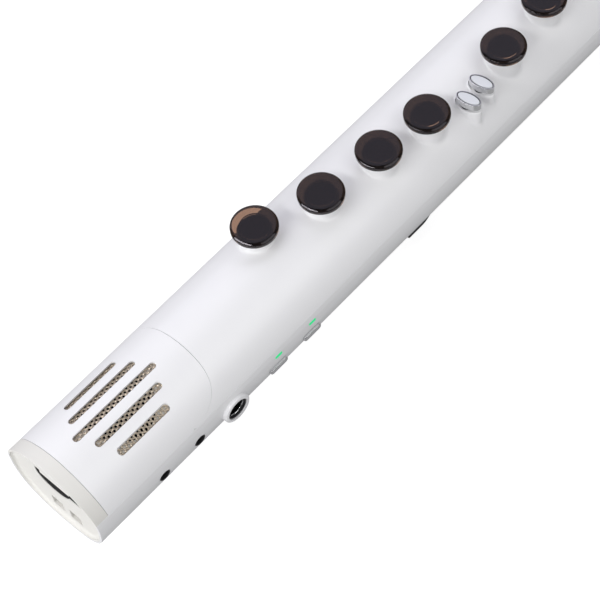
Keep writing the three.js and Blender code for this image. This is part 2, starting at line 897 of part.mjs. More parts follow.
function ovalKey({ along, across }) {
    const ringFoot = topZ + ovalRise - 2 * ovalBase;
    const ringOutline = ovalOutline(at(along), across, ovalLength, ovalWidth, ovalTurn);
    const ring = alongZ(ringOutline, ringFoot, ringFoot + ovalBase);
    const topOutline = ovalOutline(
        at(along),
        across,
        ovalLength * ovalTopShare,
        ovalWidth * ovalTopShare,
        ovalTurn,
    );
    const top = alongZ(topOutline, ringFoot, topZ + ovalRise);
    const stem = turned(
        [
            [0, smallStemFootZ],
            [smallStemRadius + barbOverhang, smallStemFootZ],
            [smallStemRadius + barbOverhang, flangeTopZ],
            [smallStemRadius, flangeTopZ],
            [smallStemRadius, ringFoot + ovalBase / 2],
            [0, ringFoot + ovalBase / 2],
        ],
        UP,
        [at(along), across, 0],
        plainSides,
    );
    return join(ring, [top, stem]);
}

// Function buttons

const functionSink = () => functionTravel + seam;

function functionButton(along) {
    const foot = topZ - functionSink() + functionTravel + seam / 2;
    const crown = functionRise / 3;
    const profile = [
        [0, smallStemFootZ],
        [smallStemRadius + barbOverhang, smallStemFootZ],
        [smallStemRadius + barbOverhang, flangeTopZ],
        [smallStemRadius, flangeTopZ],
        [smallStemRadius, foot],
        [functionRadius, foot],
        [functionRadius, topZ + functionRise - crown],
        [functionRadius - crown, topZ + functionRise],
        [0, topZ + functionRise],
    ];
    return turned(profile, UP, [at(along), 0, 0], plainSides);
}

// Boards

function switchBody(along, across, travel) {
    const half = switchSide / 2;
    return block(
        [at(along) - half, at(along) + half],
        [across - half, across + half],
        [boardBottomZ, smallStemFootZ - travel - seam],
    );
}

function mainBoard() {
    const start = at(boardStartAlong);
    const end = at(boardEndAlong);
    const board = block([start, end], [-boardHalfWidth, boardHalfWidth], [boardBottomZ, boardTopZ]);
    const parts = [
        ...ovalPlaces.map(({ along, across }) => switchBody(along, across, ovalTravel)),
        ...functionAlongs.map((along) => switchBody(along, 0, functionTravel)),
    ];
    const lastFunction = functionAlongs[functionAlongs.length - 1];
    const chipSpace = (screwAlongs[3] - screwBossRadius() - lastFunction - switchSide) / chipCount;
    for (let i = 0; i < chipCount; i += 1) {
        const x = at(lastFunction) + switchSide / 2 + (i + 1 / 2) * chipSpace;
        const half = (chipSpace * chipLengthShare) / 2;
        parts.push(block(
            [x - half, x + half],
            [-chipWidth / 2, chipWidth / 2],
            [boardBottomZ, boardTopZ + chipHeight],
        ));
    }
    const holes = screwAlongs.map((along) => (
        screwHole(boardBottomZ - overrun, boardTopZ + overrun, at(along))
    ));
    return cut(join(board, parts), holes);
}

// Side buttons and lamps

const sideButtonZ = topZ - sideButtonDrop;
const sideLipFace = () => wallFace(sideButtonZ - sideButtonHeight / 2);
const sideLipInside = () => sideLipFace() + sideButtonLipThickness;
const sideSwitchFace = () => sideLipInside() + sideButtonTravel + seam;
const sideBoardFace = () => sideSwitchFace() + sideSwitchDepth;

function sideBoard() {
    const [first, last] = sideButtonAlongs;
    const reach = [at(first) - sideBoardMargin, at(last) + sideBoardMargin];
    const top = boardBottomZ - seam;
    const face = sideBoardFace();
    const board = block(reach, [face, face + boardThickness], [top - sideBoardHeight, top]);
    const parts = [];
    const half = switchSide / 2;
    const lampZ = topZ - lampDrop;
    for (const along of sideButtonAlongs) {
        const lampX = at(along + lampShift);
        parts.push(block(
            [at(along) - half, at(along) + half],
            [sideSwitchFace(), face + boardThickness],
            [sideButtonZ - half / 2, sideButtonZ + half / 2],
        ));
        parts.push(block(
            [lampX - lampLength / 2, lampX + lampLength / 2],
            [-halfWidth + shellWall + 2 * seam, face + boardThickness],
            [lampZ - lampHeight / 2, lampZ + lampHeight / 2],
        ));
    }
    return join(board, parts);
}

function sideButton(along) {
    const face = -halfWidth - sideButtonProud;
    const edge = sideButtonProud / 3;
    const outline = (longer, shorter) => barOutline(
        at(along),
        sideButtonZ,
        sideButtonLength + 2 * longer,
        sideButtonHeight - 2 * shorter,
    );
    const shank = alongY(outline(0, 0), face + edge, sideLipFace() + sideButtonLipThickness / 2);
    const front = alongY(outline(-edge, edge), face, face + 2 * edge);
    const lip = alongY(outline(sideButtonLip, edge), sideLipFace(), sideLipInside());
    return join(shank, [front, lip]);
}

function lampLens(along) {
    const outline = barOutline(at(along + lampShift), topZ - lampDrop, lampLength, lampHeight, 4);
    return alongY(outline, -halfWidth - lampProud, -halfWidth + shellWall + seam);
}

// Sockets

const jackBoardZ = () => socketZ - miniBodyHeight / 2 - seam - boardThickness;
const jackBoardMiddle = () => wallFace(jackBoardZ()) + jackBoardWidth / 2;
const jackPostPlaces = () => [
    at(lineJackAlong) - jackPostRadius,
    at(phonesJackAlong) + jackPostRadius,
];
const floorUnder = (across) => {
    const share = (Math.abs(across) / halfWidth) ** bellyExponent;
    return widestZ - bellyDepth * (1 - share) ** (1 / bellyExponent) + shellWall / 2;
};

function miniJack(along) {
    const face = wallFace(socketZ - miniBodyHeight / 2);
    const miniBodyDepth = -magnetRadius - 2 * seam - face;
    const body = block(
        [at(along) - miniBodyWidth / 2, at(along) + miniBodyWidth / 2],
        [face, face + miniBodyDepth],
        [socketZ - miniBodyHeight / 2, socketZ + miniBodyHeight / 2],
    );
    const nose = rodY(miniHoleRadius - seam, -halfWidth + seam, face + seam, at(along), socketZ);
    const boreReach = [-halfWidth - overrun, face + miniBodyDepth - outputBackWall];
    const bore = rodY(miniBoreRadius, ...boreReach, at(along), socketZ, fineSides);
    return cut(join(body, [nose]), [bore]);
}

function outputJack() {
    const face = wallFace(socketZ - outputBodyHeight / 2);
    const body = block(
        [at(outputJackAlong) - outputBodyWidth / 2, at(outputJackAlong) + outputBodyWidth / 2],
        [face, face + outputBodyDepth],
        [socketZ - outputBodyHeight / 2, socketZ + outputBodyHeight / 2],
    );
    const mouth = -halfWidth - outputCollarProud;
    const bush = rodY(outputBushRadius, mouth + seam, face + seam, at(outputJackAlong), socketZ);
    const bore = rodY(
        outputBoreRadius,
        mouth - overrun,
        face + outputBodyDepth - outputBackWall,
        at(outputJackAlong),
        socketZ,
        plainSides,
    );
    return cut(join(body, [bush]), [bore]);
}

function jackBoard() {
    const start = lineJackAlong - miniBodyWidth / 2 - jackBoardMargin;
    const end = outputJackAlong - outputBodyWidth / 2 - 2 * seam;
    const y = jackBoardMiddle();
    return block(
        [at(start), at(end)],
        [y - jackBoardWidth / 2, y + jackBoardWidth / 2],
        [jackBoardZ(), jackBoardZ() + boardThickness],
    );
}

const usbZ = () => boardBottomZ - seam - usbHeight / 2;

function usbSocket() {
    const face = -halfWidth + seam;
    const shell = alongY(barOutline(at(usbAlong), usbZ(), usbWidth, usbHeight), face, face + usbDepth);
    const mouth = alongY(
        barOutline(at(usbAlong), usbZ(), usbWidth - 2 * usbWall, usbHeight - 2 * usbWall),
        face - overrun,
        face + usbDepth - 2 * usbWall,
    );
    const tongue = block(
        [at(usbAlong) - usbWidth / 3, at(usbAlong) + usbWidth / 3],
        [face + usbWall, face + usbDepth - usbWall],
        [usbZ() - usbWall, usbZ() + usbWall],
    );
    return join(cut(shell, [mouth]), [tongue]);
}

// Thumb side

const octaveLipFoot = () => floorInsideZ + seam;
const octaveSwitchFoot = () => octaveLipFoot() + barbThickness + octaveTravel + seam;
const octaveBoardZ = () => octaveSwitchFoot() + octaveSwitchHeight;
const octavePostPlaces = () => [
    at(octaveAlongs[0]) + octavePitch / 2 - octavePostRadius * 2,
    at(octaveAlongs[0]) + octavePitch / 2 + octavePostRadius * 2,
];

function octaveBoard() {
    const reach = [at(octaveAlongs[0]) - octaveBoardMargin, at(octaveAlongs[1]) + octaveBoardMargin];
    const foot = octaveBoardZ();
    const width = [-octaveBoardHalfWidth, octaveBoardHalfWidth];
    const board = block(reach, width, [foot, foot + boardThickness]);
    const half = switchSide / 2;
    return join(board, octaveAlongs.map((along) => block(
        [at(along) - half, at(along) + half],
        [-half, half],
        [octaveSwitchFoot(), foot + boardThickness],
    )));
}

function octaveKey(along) {
    const capFoot = backZ - octaveTravel - octaveProud;
    const crown = octaveProud / 3;
    const outline = (inset) => (
        barOutline(at(along), 0, octaveLength - 2 * inset, octaveWidth - 2 * inset)
    );
    const cap = alongZ(outline(0), capFoot + crown, capFoot + octaveProud - seam);
    const face = alongZ(outline(crown), capFoot, capFoot + 2 * crown);
    const lip = octaveLipFoot();
    const stem = turned(
        [
            [0, capFoot + crown],
            [octaveStemRadius, capFoot + crown],
            [octaveStemRadius, lip],
            [octaveStemRadius + barbOverhang, lip],
            [octaveStemRadius + barbOverhang, lip + barbThickness],
            [0, lip + barbThickness],
        ],
        UP,
        [at(along), 0, 0],
        plainSides,
    );
    return join(cap, [face, stem]);
}

const hookScrewX = () => at(hookAlong) - hookPlateLength / 5 - hookArm;
const ringScrewReach = () => ringPlateLength / 2 - plateBossRadius;
const ringScrewPlaces = () => [-1, 1].map((side) => at(ringAlong) + side * ringScrewReach());
const plateScrewPlaces = () => [hookScrewX(), ...ringScrewPlaces()];
const plateScrewTopZ = () => padZ - seam - hookPlate + plateScrewLength + screwHeadHeight;

// A screw's hole through a plate on the back, with a sunk seat for its head.
function plateHole(x) {
    const face = padZ - seam - hookPlate;
    const shank = screwHole(face - overrun, padZ + overrun, x);
    const seatTop = face + screwHeadHeight / 2 + seam;
    const seat = rod(screwHeadRadius + screwClearance, face - overrun, seatTop, x, 0);
    return join(shank, [seat]);
}

function thumbHook() {
    const top = padZ - seam;
    const foot = 0;
    const start = at(hookAlong) - hookPlateLength / 2;
    const end = at(hookAlong) + hookPlateLength / 2;
    const steps = { length: hookSteps + 1 };
    const bend = (centreX, centreZ, radius, from, to) => Array.from(steps, (_, i) => {
        const angle = THREE.MathUtils.degToRad(from + ((to - from) * i) / hookSteps);
        return [centreX + radius * Math.cos(angle), centreZ + radius * Math.sin(angle)];
    });
    const innerBend = hookCurl - hookArm;
    const points = [
        [start, top],
        [end, top],
        ...bend(end - hookCurl, foot + hookCurl, hookCurl, 0, -90),
        [end - hookTip - hookArm, foot],
        [end - hookTip - hookArm, foot + hookArm],
        ...bend(end - hookCurl, foot + hookCurl, innerBend, -90, 0),
        [end - hookArm, top - hookPlate],
        [start, top - hookPlate],
    ];
    return cut(alongY(points, -hookWidth / 2, hookWidth / 2), [plateHole(hookScrewX())]);
}

function strapRing() {
    const top = padZ - seam;
    const reach = [at(ringAlong) - ringPlateLength / 2, at(ringAlong) + ringPlateLength / 2];
    const plate = block(reach, [-ringPlateWidth / 2, ringPlateWidth / 2], [top - ringPlate, top]);
    const middle = top - ringPlate - ringBore / 2;
    const ring = new THREE.TorusGeometry((ringBore + ringWire) / 2, ringWire / 2, 6, plainSides);
    ring.rotateX(Math.PI / 2).translate(at(ringAlong), 0, middle);
    const aboveZ = [top - ringPlate / 2, top + ringBore];
    const above = block(reach, [-ringPlateWidth, ringPlateWidth], aboveZ);
    return cut(join(plate, [cut(solid(ring), [above])]), ringScrewPlaces().map(plateHole));
}

// Screws

function screw(x, headFoot, headHeight, length, headRadius = screwHeadRadius) {
    const profile = [
        [0, headFoot],
        [headRadius, headFoot],
        [headRadius, headFoot + headHeight],
        [screwRadius, headFoot + headHeight],
        [screwRadius, headFoot + headHeight + length],
        [0, headFoot + headHeight + length],
    ];
    const blank = turned(profile, UP, [x, 0, 0], fineSides);
    const slot = [headFoot - overrun, headFoot + Math.min(driveSlotDepth, headHeight / 2)];
    const reach = headRadius / 1.5;
    const half = driveSlotWidth / 2;
    return cut(blank, [
        block([x - reach, x + reach], [-half, half], slot),
        block([x - half, x + half], [-reach, reach], slot),
    ]);
}

const shellScrewDepth = () => (boardBottomZ - backZ) * shellScrewDepthShare;
const shellScrewHeadZ = () => backZ + shellScrewDepth() - screwHeadHeight - seam;
const shellScrewTopZ = () => topZ - shellScrewTop;
const screwBossRadius = () => screwRadius + screwClearance + 2 * postWall;
const screwBossFootZ = () => boardTopZ + 2 * seam + membraneSheet;

function shellScrew(along) {
    const seat = shellScrewHeadZ() + screwHeadHeight;
    return screw(at(along), shellScrewHeadZ(), screwHeadHeight, shellScrewTopZ() - seat);
}

function plateScrew(x) {
    const headFoot = padZ - seam - hookPlate - screwHeadHeight / 2;
    return screw(x, headFoot, screwHeadHeight, plateScrewLength);
}

// Battery

const cellZ = () => floorInsideZ + seam + cellRadius;
const cradleTopZ = () => floorInsideZ + cradleHeight;

function batteryCell() {
    const edge = cellRadius / 9;
    const half = cellLength / 2 - seam;
    const profile = [
        [0, -half],
        [cellRadius - edge, -half],
        [cellRadius, edge - half],
        [cellRadius, half - 2 * edge],
        [cellRadius - edge, half - edge],
        [cellRadius / 3, half - edge],
        [cellRadius / 3, half],
        [0, half],
    ];
    return turned(profile, TO_MOUTH, [at(cellAlong), 0, cellZ()], plainSides);
}

// Neck and breath path

// A hollow piece between rings of points; each ring is a list of [x, y, z].
function loftTube(outerRings, innerRings) {
    const rings = [...outerRings, ...innerRings.slice().reverse()];
    const count = rings[0].length;
    const positions = rings.flat(2);
    const index = [];
    for (let r = 0; r < rings.length; r += 1) {
        const next = (r + 1) % rings.length;
        for (let i = 0; i < count; i += 1) {
            const j = (i + 1) % count;
            const [a, b, c, d] = [r * count + i, r * count + j, next * count + j, next * count + i];
            index.push(a, b, c, a, c, d);
        }
    }
    const geometry = new THREE.BufferGeometry();
    geometry.setAttribute('position', new THREE.Float32BufferAttribute(positions, 3));
    geometry.setIndex(index);
    return solid(geometry);
}

function bodyRing(inset) {
    const arch = archCurve(inset, widestZ);
    const belly = bellyCurve(inset).reverse();
    return [...arch.slice(0, -1), ...belly.slice(0, -1)];
}

const neckAxisZ = () => (topZ + backZ) / 2;

function neckRing(share, inset) {
    const outline = bodyRing(neckInset + inset);
    const blend = share * share * (3 - 2 * share);
    const radius = neckEndRadius - inset;
    return outline.map(([y, z]) => {
        const direction = Math.atan2(z - neckAxisZ(), y);
        return [
            at(bodyLength) + seam + share * neckLength,
            y + (radius * Math.cos(direction) - y) * blend,
            z + (neckAxisZ() + radius * Math.sin(direction) - z) * blend,
        ];
    });
}

function neckCone() {
    const shares = Array.from({ length: neckRings }, (_, i) => i / (neckRings - 1));
    const rings = (inset) => shares.map((share) => neckRing(share, inset));
    const cone = loftTube(rings(0), rings(shellWall));
    const lipOuter = bodyRing(shellWall + seam);
    const lipInner = bodyRing(2 * shellWall + seam).reverse();
    const lipReach = [at(bodyLength) - neckLip, at(bodyLength) + neckLip / 2];
    const lip = alongX(lipOuter, ...lipReach).subtract(
        alongX(lipInner, lipReach[0] - overrun, lipReach[1] + overrun),
    );
    return join(cone, [lip]);
}

const neckEndX = () => at(bodyLength) + seam + neckLength;

function receiverTube() {
    const flangeFoot = -receiverFlange - seam;
    const groove = receiverLength * ringGrooveShare;
    const profile = [
        [receiverBore, flangeFoot - receiverFlange],
        [neckEndRadius - shellWall - seam, flangeFoot - receiverFlange],
        [neckEndRadius - shellWall - seam, 0],
        [receiverRadius, 0],
        [receiverRadius, groove - ringGrooveWidth / 2],
        [receiverRadius - ringGrooveDepth, groove - ringGrooveWidth / 2],
        [receiverRadius - ringGrooveDepth, groove + ringGrooveWidth / 2],
        [receiverRadius, groove + ringGrooveWidth / 2],
        [receiverRadius, receiverLength],
        [receiverBore, receiverLength],
        [receiverBore, flangeFoot - receiverFlange],
    ];
    return turned(profile, TO_MOUTH, [neckEndX(), 0, neckAxisZ()], plainSides);
}

function oRing() {
    const wire = ringGrooveDepth / 2;
    const radius = receiverRadius - ringGrooveDepth + seam / 2 + wire;
    const ring = new THREE.TorusGeometry(radius, wire, 6, plainSides);
    ring.rotateY(Math.PI / 2).translate(neckEndX() + receiverLength * ringGrooveShare, 0, neckAxisZ());
    return solid(ring);
}

const sensorX = () => at(boardEndAlong) - sensorLength - sensorPortLength;
const sensorY = () => screwBossRadius() + 2 * seam + sensorWidth / 2;
const sensorZ = () => boardTopZ + seam + sensorHeight / 2;

function breathSensor() {
    const body = block(
        [sensorX(), sensorX() + sensorLength],
        [sensorY() - sensorWidth / 2, sensorY() + sensorWidth / 2],
        [boardTopZ + seam, boardTopZ + seam + sensorHeight],
    );
    const portEnd = sensorLength + sensorPortLength;
    const port = turned(
        [
            [0, sensorLength / 2],
            [sensorPortRadius, sensorLength / 2],
            [sensorPortRadius, portEnd],
            [0, portEnd],
        ],
        TO_MOUTH,
        [sensorX(), sensorY(), sensorZ()],
        fineSides,
    );
    return join(body, [port]);
}

// The silicone hose from the sensor's port to the foot of the receiver.
function breathHose() {
    const startX = sensorX() + sensorLength + seam;
    const endX = neckEndX() - receiverFlange * 2 - 2 * seam;
    const bend = (endX - startX) / 3;
    const route = new THREE.CubicBezierCurve3(
        new THREE.Vector3(startX, sensorY(), sensorZ()),
        new THREE.Vector3(startX + bend, sensorY(), sensorZ()),
        new THREE.Vector3(endX - bend, 0, neckAxisZ()),
        new THREE.Vector3(endX, 0, neckAxisZ()),
    );
    const circle = (radius) => shapeOf(Array.from({ length: hoseSides }, (_, i) => {
        const angle = (2 * Math.PI * i) / hoseSides;
        return [radius * Math.cos(angle), radius * Math.sin(angle)];
    }));
    const settings = { steps: hoseSteps, extrudePath: route, bevelEnabled: false };
    const wall = circle(hoseRadius);
    wall.holes.push(circle(hoseBore));
    return solid(new THREE.ExtrudeGeometry(wall, settings));
}

// Mouthpiece

const mouthpieceX = () => neckEndX() + seam;

function mouthpiece() {
    const length = mouthpieceLength;
    const socketEnd = receiverLength + seam;
    const outer = [
        [0, 0],
        [shankRadius + shankRim, 0],
        [shankRadius + shankRim, shankRimLength],
        [shankRadius, shankRimLength + shankRim],
        [shankRadius, length * beakShare],
        [mouthpieceTipRadius, length],
        [0, length],
    ];
    const origin = [mouthpieceX(), 0, neckAxisZ()];
    const blank = turned(outer, TO_MOUTH, origin, wideSides);
    const socketRadius = receiverRadius + seam;
    const bore = turned(
        [
            [0, -overrun],
            [socketRadius, -overrun],
            [socketRadius, socketEnd],
            [mouthpieceBore, socketEnd],
            [mouthpieceBore, length * boreEndShare],
            [0, length * boreEndShare],
        ],
        TO_MOUTH,
        origin,
        plainSides,
    );
    const tableZ = neckAxisZ() - tableDrop;
    const tipX = mouthpieceX() + length;
    const beakStart = mouthpieceX() + length * beakShare;
    const wide = 2 * shankRadius;
    const beakTop = neckAxisZ() + shankRadius + seam;
    const beakFall = (beakTop - tableZ - tipThickness) / (tipX - beakStart);
    const beakZ = (x) => beakTop - (x - beakStart) * beakFall;
    const beak = alongY(
        [
            [beakStart, beakTop],
            [tipX + overrun, beakZ(tipX + overrun)],
            [tipX + overrun, neckAxisZ() + wide],
            [beakStart, neckAxisZ() + wide],
        ],
        -wide,
        wide,
    );
    const table = block(
        [mouthpieceX() + length * tableStartShare, tipX + overrun],
        [-wide, wide],
        [neckAxisZ() - wide, tableZ],
    );

    // The chamber opens under the reed and narrows to the tip with the beak.
    const windowStart = mouthpieceX() + length * windowStartShare;
    const chamber = alongY(
        [
            [windowStart, tableZ - overrun],
            [tipX - windowEnd, tableZ - overrun],
            [tipX - windowEnd, tableZ + tipThickness / 2],
            [windowStart, beakZ(windowStart) - beakWall],
        ],
        -windowWidth / 2,
        windowWidth / 2,
    );
    return cut(blank, [bore, beak, table, chamber]);
}

function reed() {
    const length = mouthpieceLength;
    const top = neckAxisZ() - tableDrop - seam;
    const start = mouthpieceX() + length * tableStartShare + seam;
    const end = mouthpieceX() + length;
    const scrape = end - (end - start) * reedScrapeShare;
    const outline = [
        [start, top - reedHeel],
        [scrape, top - reedHeel],
        [end, top - reedTip],
        [end, top],
        [start, top],
    ];
    return alongY(outline, -reedWidth / 2, reedWidth / 2);
}

function ligature() {
    const length = mouthpieceLength;
    const start = length * ligatureShare;
    const inner = shankRadius + seam;
    const outer = inner + ligatureThickness;
    const band = turned(
        [
            [inner, start],
            [outer, start],
            [outer, start + ligatureLength],
            [inner, start + ligatureLength],
            [inner, start],
        ],
        TO_MOUTH,
        [mouthpieceX(), 0, neckAxisZ()],
        wideSides,
    );
    const reach = [mouthpieceX() + start, mouthpieceX() + start + ligatureLength];
    const padTop = neckAxisZ() - tableDrop - reedHeel - 2 * seam;
    const half = ligaturePadWidth / 2;
    const padFoot = neckAxisZ() - inner - ligatureThickness / 2;
    return join(band, [block(reach, [-half, half], [padFoot, padTop])]);
}

// The assembly

const instrument = new THREE.Group();

function add(name, body, color, roughness, metalness = 0) {
    const { vertProperties, triVerts, numProp } = body.getMesh();
    const positions = new Float32Array((vertProperties.length / numProp) * 3);
    for (let i = 0; i < positions.length / 3; i += 1) {
        for (const axis of [0, 1, 2]) {
            positions[i * 3 + axis] = vertProperties[i * numProp + axis];
        }
    }
    const geometry = new THREE.BufferGeometry();
    geometry.setAttribute('position', new THREE.BufferAttribute(positions, 3));
    geometry.setIndex(new THREE.BufferAttribute(new Uint32Array(triVerts), 1));
    geometry.computeVertexNormals();
    const material = new THREE.MeshStandardMaterial({ color, roughness, metalness });
    const mesh = new THREE.Mesh(geometry, material);
    mesh.name = name;
    instrument.add(mesh);
}

const PEARL = 0xeeeef0;
const CREAM = 0xebe9e4;
const SMOKE = 0x2b2728;
const GRAPHITE = 0x1c1d22;
const CHROME = 0xd9dce0;
const STEEL = 0x9a9da0;
const BOARD_GREEN = 0x1f5a3a;
const SILICONE = 0xb9bcbc;
const LAMP_GREEN = 0x32dc96;
const BLACK_PLASTIC = 0x141416;

add('lower_shell', lowerShell(), PEARL, 0.3);
add('upper_shell', upperShell(), PEARL, 0.3);
add('bell_cover', bellCover(), PEARL, 0.3);
add('bell_end_cap', bellEndCap(), CREAM, 0.4);
add('speaker_grille', speakerGrille(), STEEL, 0.4, 1);
add('speaker_baffle', speakerBaffle(), BLACK_PLASTIC, 0.6);
add('speaker_basket', speakerBasket(), STEEL, 0.45, 1);
add('speaker_cone', speakerCone(), GRAPHITE, 0.9);
add('speaker_magnet', speakerMagnet(), STEEL, 0.5, 1);
keyPlaces.forEach((place, i) => {
    add(`key_disc_${i + 1}`, keyDisc(place), SMOKE, 0.08);
    add(`key_stem_${i + 1}`, keyStem(place), GRAPHITE, 0.5);
});
add('key_membrane', keyMembrane(), SILICONE, 0.7);
ovalPlaces.forEach((place, i) => add(`oval_key_${i + 1}`, ovalKey(place), CHROME, 0.12, 1));
functionAlongs.forEach((along, i) => {
    add(`function_button_${i + 1}`, functionButton(along), SILICONE, 0.6);
});
add('main_board', mainBoard(), BOARD_GREEN, 0.5);
add('side_board', sideBoard(), BOARD_GREEN, 0.5);
sideButtonAlongs.forEach((along, i) => {
    add(`side_button_${i + 1}`, sideButton(along), CHROME, 0.12, 1);
    add(`lamp_lens_${i + 1}`, lampLens(along), LAMP_GREEN, 0.3);
});
add('line_jack', miniJack(lineJackAlong), BLACK_PLASTIC, 0.5);
add('phones_jack', miniJack(phonesJackAlong), BLACK_PLASTIC, 0.5);
add('output_jack', outputJack(), STEEL, 0.35, 1);
add('jack_board', jackBoard(), BOARD_GREEN, 0.5);
add('usb_socket', usbSocket(), STEEL, 0.3, 1);
add('octave_board', octaveBoard(), BOARD_GREEN, 0.5);
octaveAlongs.forEach((along, i) => add(`octave_key_${i + 1}`, octaveKey(along), CHROME, 0.15, 1));
add('thumb_hook', thumbHook(), BLACK_PLASTIC, 0.5);
add('thumb_hook_screw', plateScrew(hookScrewX()), STEEL, 0.35, 1);
add('strap_ring', strapRing(), CHROME, 0.2, 1);
ringScrewPlaces().forEach((x, i) => add(`strap_screw_${i + 1}`, plateScrew(x), STEEL, 0.35, 1));
screwAlongs.forEach((along, i) => add(`shell_screw_${i + 1}`, shellScrew(along), STEEL, 0.35, 1));
add('battery_cell', batteryCell(), 0x3a6ea5, 0.4);
add('neck_cone', neckCone(), PEARL, 0.3);
add('receiver_tube', receiverTube(), BLACK_PLASTIC, 0.45);
add('receiver_o_ring', oRing(), BLACK_PLASTIC, 0.8);
add('breath_sensor', breathSensor(), CREAM, 0.5);
add('breath_hose', breathHose(), SILICONE, 0.6);
add('mouthpiece', mouthpiece(), BLACK_PLASTIC, 0.25);
add('reed', reed(), 0xd8cfa8, 0.5);
add('ligature', ligature(), BLACK_PLASTIC, 0.5);

export default instrument;
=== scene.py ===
import math

import bmesh
import bpy
from mathutils import Matrix, Vector


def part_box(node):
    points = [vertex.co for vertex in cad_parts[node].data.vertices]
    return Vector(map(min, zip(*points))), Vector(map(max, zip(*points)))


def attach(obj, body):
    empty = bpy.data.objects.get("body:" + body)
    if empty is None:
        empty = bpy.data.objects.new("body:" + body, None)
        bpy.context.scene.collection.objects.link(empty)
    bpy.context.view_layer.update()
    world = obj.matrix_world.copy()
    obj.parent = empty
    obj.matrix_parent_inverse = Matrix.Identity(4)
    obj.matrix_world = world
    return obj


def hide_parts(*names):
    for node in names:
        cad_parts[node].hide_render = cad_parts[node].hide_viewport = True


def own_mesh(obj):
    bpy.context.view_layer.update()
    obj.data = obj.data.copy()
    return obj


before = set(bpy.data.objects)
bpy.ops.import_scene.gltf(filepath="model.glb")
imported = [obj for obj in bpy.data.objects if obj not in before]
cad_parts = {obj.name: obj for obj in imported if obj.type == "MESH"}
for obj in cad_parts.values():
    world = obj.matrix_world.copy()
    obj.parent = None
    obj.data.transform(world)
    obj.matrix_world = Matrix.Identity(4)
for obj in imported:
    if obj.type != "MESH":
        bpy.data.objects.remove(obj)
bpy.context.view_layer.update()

scene = bpy.context.scene


# Camera
# The instrument is seen from above its bell end, on the socket side, keys up.
# The picture is a crop, so the lens axis falls right of and below its middle.
aim = Vector((-0.19692, -0.03726, 0.0580))
azimuth, elevation, roll = math.radians(-43.47), math.radians(59.61), math.radians(-5.83)
camera_distance = 0.54411
focal_pixels, axis_pixel, picture_side = 1765.02, (332.19, 329.48), 600

camera_data = bpy.data.cameras.new("camera")
camera_data.sensor_width = 36
camera_data.lens = camera_data.sensor_width * focal_pixels / picture_side
camera_data.shift_x = (picture_side / 2 - axis_pixel[0]) / picture_side
camera_data.shift_y = (axis_pixel[1] - picture_side / 2) / picture_side
camera_data.clip_start = 0.01
camera = bpy.data.objects.new("camera", camera_data)
scene.collection.objects.link(camera)
scene.camera = camera

backward = Vector((
    math.sin(azimuth) * math.cos(elevation),
    -math.cos(azimuth) * math.cos(elevation),
    math.sin(elevation),
))
level_right = Vector((math.cos(azimuth), math.sin(azimuth), 0))
level_up = backward.cross(level_right)
tilted_right = math.cos(roll) * level_right + math.sin(roll) * level_up
tilted_up = math.cos(roll) * level_up - math.sin(roll) * level_right
turn = Matrix((tilted_right, tilted_up, backward)).transposed().to_4x4()
camera.matrix_world = Matrix.Translation(aim + camera_distance * backward) @ turn


# Lower casing
# A moulded channel of pearl white plastic, 2 mm thick, that carries the boards and sockets.
# Its upper edge meets the upper casing in a fine joint along the whole length.
# Its holes are moulded in, and four sunk wells in its back hold the casing screws.
MM = 0.001
bell_x, body_end_x = -287.0, 159.0
half_width, arch_height, belly_depth = 20.4, 16.1, 20.4
arch_power, belly_power = 1.79, 2.56
back_z = 15.0
widest_z = back_z + belly_depth
top_z = widest_z + arch_height
crease_z = top_z - 13.0
wall, seam = 2.0, 0.3
socket_z = top_z - 21.6
up, across, along = (0, 0, 1), (0, 1, 0), (1, 0, 0)


def signed_power(value, power):
    return math.copysign(abs(value) ** power, value)


def arch(inset, floor_z, steps=96):
    """Half section over the keys, from +Y to -Y, down to floor_z."""
    width, height = half_width - inset, arch_height - inset
    first = math.asin(((floor_z - widest_z) / height) ** (arch_power / 2))
    angles = [first + (math.pi - 2 * first) * i / steps for i in range(steps + 1)]
    return [(
        width * signed_power(math.cos(a), 2 / arch_power),
        widest_z + height * signed_power(math.sin(a), 2 / arch_power),
    ) for a in angles]


def belly(inset, steps=80):
    """Half section under the keys, from +Y to -Y."""
    width, depth = half_width - inset, belly_depth - inset
    angles = [math.pi * i / steps for i in range(steps + 1)]
    return [(
        width * signed_power(math.cos(a), 2 / belly_power),
        widest_z - depth * signed_power(math.sin(a), 2 / belly_power),
    ) for a in angles]


def prism(outline, axis, start, end):
    """A closed outline in the plane across an axis, drawn out along it."""
    place = {
        "X": lambda a, b: (start, a, b),
        "Y": lambda a, b: (a, start, b),
        "Z": lambda a, b: (a, b, start),
    }[axis]
    bm = bmesh.new()
    face = bm.faces.new([bm.verts.new(place(*point)) for point in outline])
    grown = bmesh.ops.extrude_face_region(bm, geom=[face])
    far = [v for v in grown["geom"] if isinstance(v, bmesh.types.BMVert)]
    travel = {"X": along, "Y": across, "Z": up}[axis]
    bmesh.ops.translate(bm, verts=far, vec=Vector(travel) * (end - start))
    bmesh.ops.recalc_face_normals(bm, faces=bm.faces)
    return bm


def lathe(profile, axis, centre, steps=64):
    """A [radius, distance] profile turned about an axis through centre."""
    bm = bmesh.new()
    line = [bm.verts.new((radius, 0, distance)) for radius, distance in profile]
    edges = [bm.edges.new(pair) for pair in zip(line, line[1:])]
    bmesh.ops.spin(
        bm, geom=line + edges, cent=(0, 0, 0), axis=up,
        angle=2 * math.pi, steps=steps, use_merge=True, use_duplicate=False,
    )
    bmesh.ops.remove_doubles(bm, verts=bm.verts, dist=1e-5)
    bmesh.ops.recalc_face_normals(bm, faces=bm.faces)
    aim_at = Vector(up).rotation_difference(Vector(axis)).to_matrix()
    bmesh.ops.rotate(bm, verts=bm.verts, cent=(0, 0, 0), matrix=aim_at)
    bmesh.ops.translate(bm, verts=bm.verts, vec=centre)
    return bm


